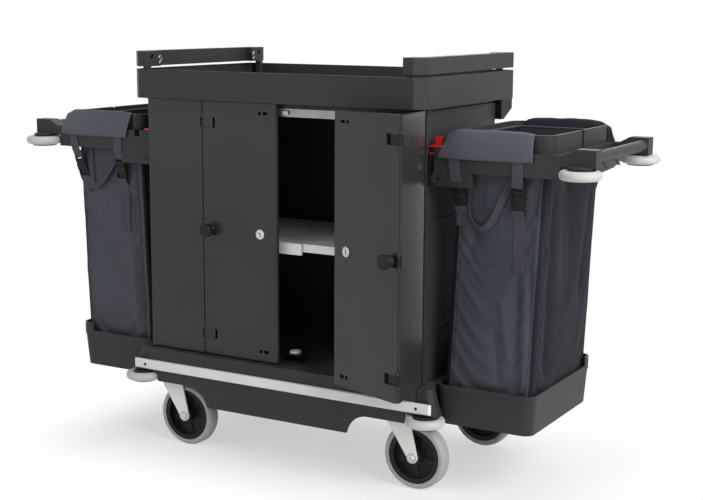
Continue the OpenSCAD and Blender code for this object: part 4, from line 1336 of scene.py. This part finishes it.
    def _flap(self, side: BagFace) -> None:
        """One flap over the hoop, held down by two straps.

        Args:
            side: Face of the bag that it hangs on.
        """
        inner = self.hoop_half - 0.0077
        outer = self.arm_half + 0.0024
        top = self.hoop_top + 0.0024
        hem = self.arm_top - 0.0205
        word = self._word(side)
        loft = 0.008 if word == "rear" else 0.002
        line = [
            (inner, self.arm_top + 0.006), (inner, self.arm_top + 0.018), (inner, self.arm_top + 0.030),
            (inner + 0.0004, top - 0.003), (inner + 0.003, top + 0.0002), (self.hoop_half - 0.002, top + 0.0008),
            (self.hoop_half + 0.0024, top - 0.001), (self.hoop_half + 0.0062, top - 0.008),
            (self.hoop_half + 0.0102, top - 0.019), (self.hoop_half + 0.0132, top - 0.030),
            (outer + 0.0008, self.arm_top + 0.001), (outer + 0.0018, self.arm_top - 0.009),
            (outer + 0.0020, self.arm_top - 0.016), (outer + 0.0016, hem),
        ]
        (a0, a1), (b0, b1) = side.flap, side.hem
        columns, corner, points, cloth = 48, 0.034, [], []
        lengths = [0.0]
        for (ay, az), (by, bz) in zip(line, line[1:]):
            lengths.append(lengths[-1] + math.hypot(by - ay, bz - az))
        for k in range(columns + 1):
            u = k / columns
            fall = sum(
                drop * (1 - ease(way * (a1 - a0), 0.0, corner)) ** 1.5 for drop, way in zip(side.droop, (u, 1 - u))
            )
            ripple = 0.9 + 0.1 * math.sin(11.0 * u + 0.6) + 0.05 * math.sin(27.0 * u)
            crest = loft * ripple * math.sin(math.pi * u) ** 0.5
            for (y, z), length in zip(line, lengths):
                down = length / lengths[-1]
                spread = max(0.0, (down - 0.5) / 0.5)
                x = a0 + (a1 - a0) * u + ((b0 - a0) * (1 - u) + (b1 - a1) * u) * spread
                wave = 0.0010 * (1 + math.sin(8.0 * u + 0.8 + side.face.value)) * ease(down, 0.7, 1.0)
                lower = fall * (1 - ease(down, 0.55, 0.85)) + 0.0016 * math.sin(math.pi * u) * ease(down, 0.8, 1.0)
                lower -= crest * ease(down, 0.1, 0.35) * (1 - ease(down, 0.4, 0.75))
                points.append(Vector((x, side.face.value * (y + wave), z - lower)))
                cloth.append((x, length))
        m = len(line)
        faces = quads(columns + 1, m)
        if side.face is Face.REAR:
            faces = [tuple(reversed(f)) for f in faces]
        piece = self._add(f"bag_flap_{word}", (points, faces), "flap_nylon", cloth)
        # The first segments, inside the hoop, get the darker nylon as painted shade.
        inside = 5
        self.palette.dress_faces(piece, "bag_lining", [f for f in range(len(faces)) if f % (m - 1) < inside])
        thicken(piece, self.wall, offset=0.0)
        if side.face is Face.FRONT:
            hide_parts(f"{self.end.word}_bag_flaps")
        off = Vector((0.0, side.face.value * 0.0013, 0.0))
        hems = [[points[k * m + m - 1].lerp(points[k * m + m - 2], 0.75) + off for k in range(columns + 1)]]
        for x in side.straps:
            k = round((x - b0) / (b1 - b0) * columns)
            patch = [points[j * m + m - 3] + off for j in range(k - 2, k + 3)]
            hems.append(patch)
            hems.append([p.lerp(points[j * m + m - 4] + off, 0.9) for j, p in zip(range(k - 2, k + 3), patch)])
        self._add(f"bag_flap_stitches_{word}", merged(self._dashes(hems, 0.00045)), "thread")

    def _ribbon(self, name: str, path: list[Vector], across: list[Vector], width: float, thickness: float) -> None:
        """A flat webbing strip along a path.

        Args:
            name: Piece's name after the end's word.
            path: Middle of the strip.
            across: Direction across the strip at each point.
            width: Width of the strip.
            thickness: Thickness of the strip.
        """
        points, cloth, run = [], [], 0.0
        steps = (-0.5, -0.46, -0.2, 0.0, 0.2, 0.46, 0.5)
        for index, place in enumerate(path):
            if index:
                run += (place - path[index - 1]).length
            for step in steps:
                points.append(place + across[index].normalized() * width * step)
                cloth.append((width * step, run))
        piece = self._add(name, (points, quads(len(path), len(steps))), "webbing", cloth)
        thicken(piece, thickness, offset=0.0)

    def _ends(self, side: BagFace, number: int) -> tuple[Vector, Vector]:
        """Upper and lower ends of a buckle, which leans from its strap in to the bag.

        Args:
            side: Face of the bag.
            number: Which strap.

        Returns:
            Middles of its upper and lower bars.
        """
        high, low = self.buckle_z
        x = side.straps[number] * 0.4 + side.sewn[number] * 0.6
        foot = self._at(side.face, side.sewn[number], low, 0.0105)
        return Vector((x, side.face.value * (self.arm_half - 0.0056), high)), foot

    def _hanging_strap(self, side: BagFace, number: int) -> None:
        """Webbing from a flap's hem down to its buckle, folded back round the buckle's bar.

        Args:
            side: Face of the bag.
            number: Which strap.
        """
        bar, _ = self._ends(side, number)
        start = Vector((side.straps[number], side.face.value * (self.arm_half + 0.0020), self.arm_top - 0.012))
        radius, steps, bends = 0.0042, 12, 6
        reach = abs(bar.y) + radius
        path = []
        for k in range(steps + 1):
            t = k / steps
            x = start.x + (bar.x - start.x) * t * t
            y = abs(start.y) + (reach - abs(start.y)) * ease(t, 0.55, 1.1)
            path.append(Vector((x, side.face.value * y, start.z + (bar.z - start.z) * t)))
        for k in range(1, bends + 1):
            turn = math.pi * k / bends
            path.append(Vector((
                bar.x, side.face.value * (abs(bar.y) + radius * math.cos(turn)), bar.z - radius * math.sin(turn),
            )))
        path.append(path[-1] + Vector((0.0, 0.0, 0.012)))
        name = f"bag_strap_{self._word(side)}_{number}"
        self._ribbon(name, path, [ALONG] * len(path), self.strap_width, 0.0018)

    def _buckle(self, side: BagFace, number: int) -> None:
        """Side-release buckle: bars for the webbing, a tongue with two prongs, and a socket.

        Args:
            side: Face of the bag.
            number: Which strap.
        """
        bar, foot = self._ends(side, number)
        down = (foot - bar).normalized()
        reach = (foot - bar).length
        out = ALONG.cross(down).normalized()
        half = 0.0155
        parts = [
            block((-half, -0.0020, -0.0020), (half, 0.0020, 0.0020)),
            block((-half, 0.0105, -0.0040), (half, 0.0165, 0.0040)),
            block((-half + 0.0048, 0.0165, -0.0030), (half - 0.0048, 0.0245, 0.0030)),
            block((-half, 0.0245, -0.0046), (half, 0.0400, 0.0046)),
            block((-half, 0.0440, -0.0030), (half, 0.0500, 0.0010)),
            block((-half + 0.0030, 0.0015, -0.0012), (half - 0.0030, 0.0080, 0.0012)),
            block((-half + 0.0030, 0.0500, -0.0022), (half - 0.0030, reach, -0.0002)),
            block((-half + 0.0030, 0.0395, -0.0024), (half - 0.0030, 0.0445, 0.0004)),
            block((-half, reach - 0.0030, -0.0030), (half, reach + 0.0005, 0.0030)),
        ]
        for sign in (-1, 1):
            for low, high, inset in ((-0.0020, 0.0110, 0.0034), (0.0160, 0.0250, 0.0030), (0.0395, reach, 0.0034)):
                edge = sorted((sign * half, sign * (half - inset)))
                parts.append(block((edge[0], low, -0.0030), (edge[1], high, 0.0030)))
        name = f"bag_buckle_{self._word(side)}_{number}"
        piece = self._add(name, placed(merged(parts), frame_at(bar, down.cross(out), down, out)), "black_plastic")
        round_edges(piece, 0.0008, 2)

    def _sewn_strap(self, side: BagFace, number: int) -> None:
        """Webbing from a buckle in to the bag's face, and sewn down along it.

        Args:
            side: Face of the bag.
            number: Which strap.
        """
        _, foot = self._ends(side, number)
        x, meet = side.sewn[number], foot.z - 0.020
        lift, past, half, steps = 0.0016, 0.004, 0.012, 8
        lead = self._at(side.face, x, meet, lift)
        start = Vector((x, foot.y + side.face.value * past, foot.z + past))
        path, across = [], [ALONG] * (steps + 1)
        for k in range(steps + 1):
            t = k / steps
            place = start.lerp(lead, ease(t, 0.0, 1.0))
            place.z = foot.z + past + (meet - foot.z - past) * t
            path.append(place)
        low = side.sewn_end[number]
        steps = int((meet - low) / self.pitch)
        for k in range(1, steps + 1):
            z = meet + (low - meet) * k / steps
            path.append(self._at(side.face, x, z, lift))
            across.append(self._at(side.face, x + half, z, 0.0) - self._at(side.face, x - half, z, 0.0))
        name = f"bag_sewn_strap_{self._word(side)}_{number}"
        self._ribbon(name, path, across, self.strap_width + 0.0025, 0.002)

    def _carrying_loop(self, side: BagFace) -> None:
        """Loop of webbing that hangs on the bag's front or rear.

        Args:
            side: Face of the bag.
        """
        marks = [Vector((x, 0.0, z)) for x, z in side.loop]
        marks = [2 * marks[0] - marks[1], *marks, 2 * marks[-1] - marks[-2]]
        flat, steps, lift, hang, twist = [], 7, 0.0035, 0.006, 0.6
        for a, b, c, d in zip(marks, marks[1:], marks[2:], marks[3:]):
            for k in range(steps):
                t = k / steps
                flat.append(0.5 * (
                    2 * b + (c - a) * t + (2 * a - 5 * b + 4 * c - d) * t * t + (3 * b - a - 3 * c + d) * t * t * t
                ))
        flat.append(marks[-2])
        top, low = flat[0].z, min(p.z for p in flat)
        path, across = [], []
        for p in flat:
            fall = (top - p.z) / (top - low)
            base = self._at(side.face, p.x, p.z, lift)
            path.append(Vector((p.x, base.y + side.face.value * hang * fall, p.z)))
        for k, place in enumerate(path):
            ahead = path[min(k + 1, len(path) - 1)] - path[max(k - 1, 0)]
            level = ahead.cross(Vector((0.0, 1.0, 0.0))).normalized()
            roll = twist * math.sin(math.pi * k / (len(path) - 1))
            across.append(level * math.cos(roll) + Vector((0.0, side.face.value, 0.0)) * math.sin(roll))
        self._ribbon(f"bag_loop_{self._word(side)}", path, across, 0.017, 0.0022)


# Fittings


@dataclass
class Fittings:
    """Small fittings that the solids leave out: nuts, screws, clips, key slots, plates and webs.

    Attributes:
        palette: Finishes.
        joints: The record's joints by name.
        solids: The CAD nodes' objects by name.
        screw_in: Place of a strip's screws, in from its ends.
        clip_in: Place of a rail's clips, in from its ends.
        web_in: Place of an end bar's web, in from the frame's outer end.
        web_drop: Its upper edge, down from the frame's top.
        web_from: Its end at the frame's corner, out from the middle.
        web_to: Its other end, past the middle.
    """

    palette: Palette
    joints: dict[str, dict]
    solids: dict[str, bpy.types.Object]
    screw_in: float = 0.036
    clip_in: float = 0.052
    web_in: float = 0.0135
    web_drop: float = 0.0270
    web_from: float = 0.1585
    web_to: float = 0.030

    def build(self) -> None:
        """Make all fittings."""
        for front in Face:
            for end in End:
                self._axle_nuts(front, end)
            self._strip_screws(front)
        for end in End:
            self._rail_clips(end)
            self._key_slot(end)
            self._latch_lip(end)
            self._hoop_joiner(end)
            self._bar_web(end)
        self._catch_cap()

    def _fit(self, name: str, part: Part, finish: str, body: str, rounding: float = 0.0) -> bpy.types.Object:
        """Make a fitting, dress it and fix it to what carries it.

        Args:
            name: Piece's name.
            part: Points and faces.
            finish: Finish's name.
            body: Body that it rides on.
            rounding: Radius of its rounded edges, in metres, or 0 for none.

        Returns:
            The fitting.
        """
        piece = make_piece(name, *part)
        if rounding:
            round_edges(piece, rounding, 2)
        self.palette.dress(piece, finish)
        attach(piece, body)
        LOG.info("%s on %s", piece.name, body)
        return piece

    @staticmethod
    def _limits(end: End, node: str) -> tuple[float, float, Point, Point]:
        """Box of a node at one end of the cart.

        Args:
            end: End of the cart.
            node: Name after the end's word.

        Returns:
            Its place along X nearest the cabinet, the furthest one, and its lowest and highest corners.
        """
        low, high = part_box(f"{end.word}_{node}")
        near, far = (low[0], high[0]) if end is End.RIGHT else (high[0], low[0])
        return near, far, low, high

    def _axle_nuts(self, face: Face, end: End) -> None:
        """Domed nuts and washers on both ends of a castor's axle.

        Args:
            face: Front or rear castor.
            end: End of the cart.
        """
        place = f"{face.word}_{end.word}"
        low, high = (Vector(c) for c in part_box(f"tyre_{place}"))
        centre = (low + high) / 2
        fork_low, fork_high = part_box(f"fork_{place}")
        reach = (fork_high[1] - fork_low[1]) / 2 - 0.004
        parts = []
        for side in (-1, 1):
            turn = Matrix.Translation(centre + Vector((0, side * reach, 0))) @ Matrix.Rotation(
                -side * math.pi / 2, 4, "X"
            )
            washer = [(0.0062, 0.0), (0.0125, 0.0), (0.0125, 0.0012), (0.0120, 0.0016), (0.0062, 0.0016)]
            parts.append(placed(lathe(washer, 32), turn))
            nut = [
                (0.0062, 0.0016), (0.0095, 0.0016), (0.0098, 0.0022), (0.0098, 0.0062), (0.0090, 0.0070),
                (0.0062, 0.0072),
            ]
            parts.append(placed(lathe(nut, 6), turn))
        nuts = self._fit(f"axle_nuts_{place}", merged(parts), "zinc_steel", f"fork_{place}")
        nuts.data.polygons.foreach_set("use_smooth", [False] * len(nuts.data.polygons))

    def _strip_screws(self, face: Face) -> None:
        """Recessed screws along a bumper strip.

        Args:
            face: Front or rear strip.
        """
        low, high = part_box("bumper_strips")
        y = face.value * high[1]
        z = (low[2] + high[2]) / 2
        parts = []
        head = [(0.0038, -0.002), (0.0038, 0.0001), (0.0034, 0.0006), (0.0022, 0.0010), (0.0005, 0.0008)]
        for x in (low[0] + self.screw_in, high[0] - self.screw_in):
            turn = Matrix.Translation((x, y, z)) @ Matrix.Rotation(-face.value * math.pi / 2, 4, "X")
            parts.append(placed(lathe(head, 20), turn))
        self._fit(f"strip_screws_{face.word}", merged(parts), "black_plastic", "cart")

    def _rail_clips(self, end: End) -> None:
        """Spring clips beside the sockets of an end rail.

        Args:
            end: End of the cart.
        """
        inner, _, low, high = self._limits(end, "end_rail")
        toward = -end.value
        z = high[2] - 0.019
        parts = []
        for y, away in ((low[1] + self.clip_in, -1), (high[1] - self.clip_in, 1)):
            steps = 24
            turns = [1.75 * math.pi * k / steps for k in range(steps + 1)]
            x = inner + toward * 0.0022
            wire = [Vector((x, y + away * 0.0045 * math.cos(turn), z + 0.0075 * math.sin(turn))) for turn in turns]
            parts.append(tube(wire, 0.0011, 8))
            screw = [(0.0030, -0.001), (0.0030, 0.0012), (0.0022, 0.0020), (0.0006, 0.0022)]
            turn = Matrix.Translation((inner, y, z - 0.0105)) @ Matrix.Rotation(toward * math.pi / 2, 4, "Y")
            parts.append(placed(lathe(screw, 16), turn))
        self._fit(f"{end.word}_rail_clips", merged(parts), "zinc_steel", "cart")

    def _key_slot(self, end: End) -> None:
        """Key slot across a lock plug's face, and the bright bezel round it.

        Args:
            end: End of the cart.
        """
        joint = self.joints[f"{end.word}_lock_turn"]
        centre = Vector(joint["pos_m"])
        axis = Vector(joint["axis"]).normalized()
        out = -axis if axis.y > 0 else axis
        solid = self.solids[f"{end.word}_lock_plug"]
        reach = max((v.co - centre).dot(out) for v in solid.data.vertices)
        frame = frame_at(centre + out * reach, UP.cross(out).normalized(), UP, out)
        slot = block((-0.0011, -0.0052, -0.0006), (0.0011, 0.0052, 0.0004))
        ring = [
            (0.0072, -0.0008), (0.0072, 0.0005), (0.0078, 0.0008), (0.0086, 0.0008), (0.0092, 0.0004),
            (0.0092, -0.0008),
        ]
        self._fit(f"{end.word}_key_slot", placed(slot, frame), "black_plastic", f"{end.word}_lock")
        self._fit(f"{end.word}_key_bezel", placed(lathe(ring, 36), frame), "zinc_steel", f"{end.word}_lock")

    def _latch_lip(self, end: End) -> None:
        """Thumb plate of a frame latch, and the cheek of the frame's arm in front of it.

        Args:
            end: End of the cart.
        """
        near, _, low, high = self._limits(end, "latch")
        rise = high[2] - 0.0245
        inner, outer = sorted((near, near + end.value * 0.034))
        plate = block((inner, low[1] - 0.003, rise), (outer, high[1] - 0.0004, rise + 0.0045))
        self._fit(f"{end.word}_latch_plate", plate, "latch_red", f"{end.word}_latch", 0.0012)
        inner, outer = sorted((near + end.value * 0.0145, near + end.value * 0.050))
        cheek = block((inner, low[1] - 0.0040, low[2] - 0.002), (outer, low[1] - 0.0008, rise - 0.0006))
        self._fit(f"{end.word}_latch_cheek", cheek, "body_plastic", f"{end.word}_frame", 0.0008)

    def _hoop_joiner(self, end: End) -> None:
        """Plate that closes the slot in a hoop's outer side.

        Args:
            end: End of the cart.
        """
        _, far, low, high = self._limits(end, "hoop")
        inner, outer = sorted((far - end.value * 0.0057, far - end.value * 0.0032))
        joiner = block((inner, -0.0068, low[2] + 0.0004), (outer, 0.0068, high[2] - 0.0015))
        self._fit(f"{end.word}_hoop_joiner", joiner, "body_plastic", f"{end.word}_frame", 0.0004)

    def _bar_web(self, end: End) -> None:
        """Ribbed web under the end bar of a bag frame, from the corner on the front at the right end.

        Args:
            end: End of the cart.
        """
        _, outer, _, high = self._limits(end, "bag_frame")
        turn = end.value
        reach = turn * outer - self.web_in
        under = high[2] - self.web_drop
        near, far = -self.web_from, self.web_to
        edge = [(near, under), (near, under - 0.029), (near * 0.3, under - 0.024), (far, under - 0.007), (far, under)]
        parts = [self._plate(edge, reach, 0.0016)]
        for start in (near * 0.80, near * 0.28):
            foot = under - 0.021
            rib = [(start, under), (start + 0.034, foot), (start + 0.039, foot), (start + 0.005, under)]
            parts.append(self._plate(rib, reach, 0.0040))
        web = placed(merged(parts), Matrix.Diagonal((turn, turn, 1.0, 1.0)))
        self._fit(f"{end.word}_bar_web", web, "body_plastic", f"{end.word}_frame", 0.0004)

    @staticmethod
    def _plate(edge: list[Pair], middle: float, half: float) -> Part:
        """A flat plate across the cart's length.

        Args:
            edge: Outline in Y and Z.
            middle: Place of its middle along X.
            half: Half of its thickness.

        Returns:
            Points and faces.
        """
        n = len(edge)
        points = [Vector((middle + side * half, y, z)) for side in (-1, 1) for y, z in edge]
        faces: list[Corners] = [tuple(range(n)), tuple(range(2 * n - 1, n - 1, -1))]
        faces += [(k, n + k, n + (k + 1) % n, (k + 1) % n) for k in range(n)]
        return points, faces

    def _catch_cap(self) -> None:
        """Pale cap on the floor catch of the doors, and the pale face of the keeper above it."""
        low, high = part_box("door_catches")
        keeper = block(
            (low[0] + 0.0125, low[1] - 0.0008, high[2] - 0.0095), (low[0] + 0.0295, low[1] + 0.0010, high[2] - 0.0008)
        )
        self._fit("door_keeper_face", keeper, "bumper_plastic", "cart", 0.0005)
        dome = [
            (0.0148, 0.0), (0.0152, 0.0014), (0.0148, 0.0040), (0.0120, 0.0064), (0.0060, 0.0078), (0.0006, 0.0082),
        ]
        place = Matrix.Translation((low[0] + 0.024, low[1] + 0.038, low[2] + 0.0222))
        self._fit("floor_catch_cap", placed(lathe(dome, 32), place), "bumper_plastic", "cart")


# Scene


@dataclass(frozen=True)
class Studio:
    """Pale floor, soft lights and the camera at the photograph's angle.

    Attributes:
        eye: Camera's place, in metres.
        yaw: Camera's turn about Z, in radians.
        pitch: Camera's tilt, in radians.
        roll: Camera's roll, in radians.
        focal: Focal length in pixels of the frame's width.
        width: Frame's width in pixels.
        sensor: Sensor's width, in millimetres.
        ambient: Strength of the pale surroundings on the object.
        lamps: Name, place, size and power in watts of each lamp.
        floor: Half length of the floor.
        shade: Axis, middle and half length of the box round the cart's foot where its shadow shows.
        fade: Distance past that box at which the floor is white.
        glow: Share of white inside that box.
    """

    eye: Point = (1.7803, -2.9583, 1.1169)
    yaw: float = 0.522
    pitch: float = -0.174
    roll: float = 0.005
    focal: float = 1365.4
    width: float = 703.0
    sensor: float = 36.0
    ambient: float = 0.32
    lamps: tuple[tuple[str, Point, float, float], ...] = (
        ("key", (3.5, -1.2, 2.6), 2.6, 135.0), ("fill", (-1.8, -3.6, 2.0), 3.0, 27.0),
        ("top", (0.2, 0.4, 3.6), 3.0, 32.0), ("back", (-1.2, 3.6, 2.2), 3.0, 34.0),
    )
    floor: float = 9.0
    shade: tuple[tuple[int, float, float], ...] = ((0, 0.08, 0.56), (1, 0.0, 0.22))
    fade: float = 0.30
    glow: float = 0.54

    def build(self) -> None:
        """Make the camera, the lights and the floor."""
        self._camera()
        self._surroundings()
        for name, place, size, power in self.lamps:
            self._lamp(name, place, size, power)
        self._floor()

    def _camera(self) -> None:
        """Camera with no shift and no depth of field."""
        data = bpy.data.cameras.new("camera")
        data.sensor_fit = "HORIZONTAL"
        data.sensor_width = self.sensor
        data.lens = self.sensor * self.focal / self.width
        data.clip_end = 60.0
        ahead = Vector((
            -math.sin(self.yaw) * math.cos(self.pitch), math.cos(self.yaw) * math.cos(self.pitch), math.sin(self.pitch)
        ))
        right = Vector((math.cos(self.yaw), math.sin(self.yaw), 0.0))
        up = right.cross(ahead)
        turned = right * math.cos(self.roll) + up * math.sin(self.roll)
        above = up * math.cos(self.roll) - right * math.sin(self.roll)
        camera = bpy.data.objects.new("camera", data)
        camera.matrix_world = frame_at(Vector(self.eye), turned, above, -ahead)
        bpy.context.scene.collection.objects.link(camera)
        bpy.context.scene.camera = camera

    @staticmethod
    def _seen(graph: Graph) -> bpy.types.NodeSocket:
        """1 where the camera, a mirror or glass looks at a surface, and 0 where it only lights others.

        Args:
            graph: Graph of the surface.

        Returns:
            The mask's socket.
        """
        path = graph.add("ShaderNodeLightPath")
        seen = graph.math("MAXIMUM", path.outputs["Is Camera Ray"], path.outputs["Is Glossy Ray"])
        return graph.math("MAXIMUM", seen, path.outputs["Is Transmission Ray"])

    def _surroundings(self) -> None:
        """White where the camera, mirrors and glass see it, and a plain level of light on the object."""
        world = bpy.data.worlds.new("surroundings")
        bpy.context.scene.world = world
        world.use_nodes = True
        world.node_tree.nodes.clear()
        graph = Graph(world.node_tree)
        level = graph.math("MULTIPLY_ADD", self._seen(graph), 1.0 - self.ambient, self.ambient)
        light = graph.add("ShaderNodeBackground", {"Color": (1.0, 1.0, 1.0, 1.0), "Strength": level})
        graph.add("ShaderNodeOutputWorld", {"Surface": light.outputs[0]})

    def _lamp(self, name: str, place: Point, size: float, power: float) -> None:
        """A soft square lamp that looks at the cart's middle.

        Args:
            name: Lamp's name.
            place: Where it hangs.
            size: Length of its sides.
            power: Power, in watts.
        """
        data = bpy.data.lights.new(name, "AREA")
        data.size = size
        data.energy = power
        lamp = bpy.data.objects.new(name, data)
        lamp.location = place
        aim = Vector((0.0, 0.0, 0.5)) - Vector(place)
        lamp.rotation_euler = aim.to_track_quat("-Z", "Y").to_euler()
        bpy.context.scene.collection.objects.link(lamp)

    def _floor(self) -> None:
        """Wide pale floor, white to the camera away from the cart's shadow."""
        rows = 24
        marks = [-self.floor + 2 * self.floor * k / rows for k in range(rows + 1)]
        points = [Vector((x, y, 0.0)) for y in marks for x in marks]
        floor = make_piece("studio_floor", points, quads(len(marks), len(marks)))
        material = bpy.data.materials.new("studio_floor")
        material.use_nodes = True
        shader = material.node_tree.nodes["Principled BSDF"]
        graph = Graph(material.node_tree)
        place = graph.add("ShaderNodeTexCoord").outputs["Object"]
        tone = graph.add("ShaderNodeTexNoise", {"Vector": place, "Scale": 1.5, "Detail": 2.0})
        colour = graph.mix(tone.outputs[0], (0.93, 0.93, 0.93, 1.0), (0.95, 0.95, 0.95, 1.0))
        graph.feed(shader.inputs["Base Color"], colour)
        shader.inputs["Roughness"].default_value = 0.9
        shader.inputs["Specular IOR Level"].default_value = 0.1
        axes = graph.add("ShaderNodeSeparateXYZ", {0: place})
        gaps = []
        for axis, middle, half in self.shade:
            aside = graph.math("SUBTRACT", axes.outputs[axis], middle)
            past = graph.math("SUBTRACT", graph.math("ABSOLUTE", aside), half)
            past = graph.math("MAXIMUM", past, 0.0)
            gaps.append(graph.math("MULTIPLY", past, past))
        gap = graph.math("SQRT", graph.math("ADD", *gaps))
        pale = graph.math("MULTIPLY_ADD", graph.span(gap, 0.0, self.fade), 1.0 - self.glow, self.glow)
        away = graph.math("MULTIPLY", pale, self._seen(graph))
        glow = graph.add("ShaderNodeEmission", {"Color": (1.0, 1.0, 1.0, 1.0), "Strength": 1.0})
        blend = graph.add("ShaderNodeMixShader", {0: away, 1: shader.outputs[0], 2: glow.outputs[0]})
        graph.feed(material.node_tree.nodes["Material Output"].inputs["Surface"], blend.outputs[0])
        floor.data.materials.append(material)


@dataclass
class Cart:
    """The whole cart: its solids' finishes, its bags and its fittings.

    Attributes:
        palette: Finishes.
        finishes: Start of a node's name, with or without its end's word, and its finish. The first match counts.
    """

    frame: dict
    palette: Palette
    # The right door's fold hinges are black as painted shade; the left ones take the doors' own finish.
    finishes: tuple[tuple[str, str], ...] = (
        # The rings are white bumper plastic, with painted shade darkening them.
        ("left_fold_hinges", "door_plastic"), ("fold_hinges", "black_plastic"), ("base_ring", "ring_plastic"),
        ("frame_ring", "ring_plastic"), ("bumper_strips", "bumper_plastic"), ("fork_", "fork_enamel"),
        ("wheel_", "black_plastic"), ("tyre_", "tyre_rubber"), ("castor_plates", "zinc_steel"),
        ("door_rail", "rail_metal"), ("shelves", "shelf_plastic"), ("latch", "latch_red"),
        ("wall_brackets", "black_plastic"), ("tray_gussets", "black_plastic"), ("door_catches", "black_plastic"),
        ("jamb_pivots", "black_plastic"), ("lock_plug", "zinc_steel"), ("knob", "black_plastic"),
        ("jamb_leaf", "door_plastic"), ("fold_leaf", "door_plastic"),
    )

    def build(self) -> None:
        """Dress the solids, then make the bags and the fittings."""
        for name, solid in self.frame["nodes"].items():
            names = (name, name.removeprefix("left_").removeprefix("right_"))
            finish = next((f for start, f in self.finishes if any(n.startswith(start) for n in names)), "body_plastic")
            self.palette.dress_solid(solid, finish)
            LOG.info("%s: %s", name, finish)
        for end in End:
            LinenBag(end, self.palette).build()
        joints = {joint["name"]: joint for joint in self.frame["joints"]}
        Fittings(self.palette, joints, self.frame["nodes"]).build()


def main() -> None:
    """Build the cart's looks in order."""
    logging.basicConfig(level=logging.INFO, format="%(name)s %(message)s")
    for thing in list(bpy.data.objects):
        bpy.data.objects.remove(thing)
    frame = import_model()
    bpy.context.scene.view_settings.view_transform = "Standard"
    Studio().build()
    palette = Palette(EffectLibrary())
    Cart(frame, palette).build()


if __name__ == "__main__":
    main()
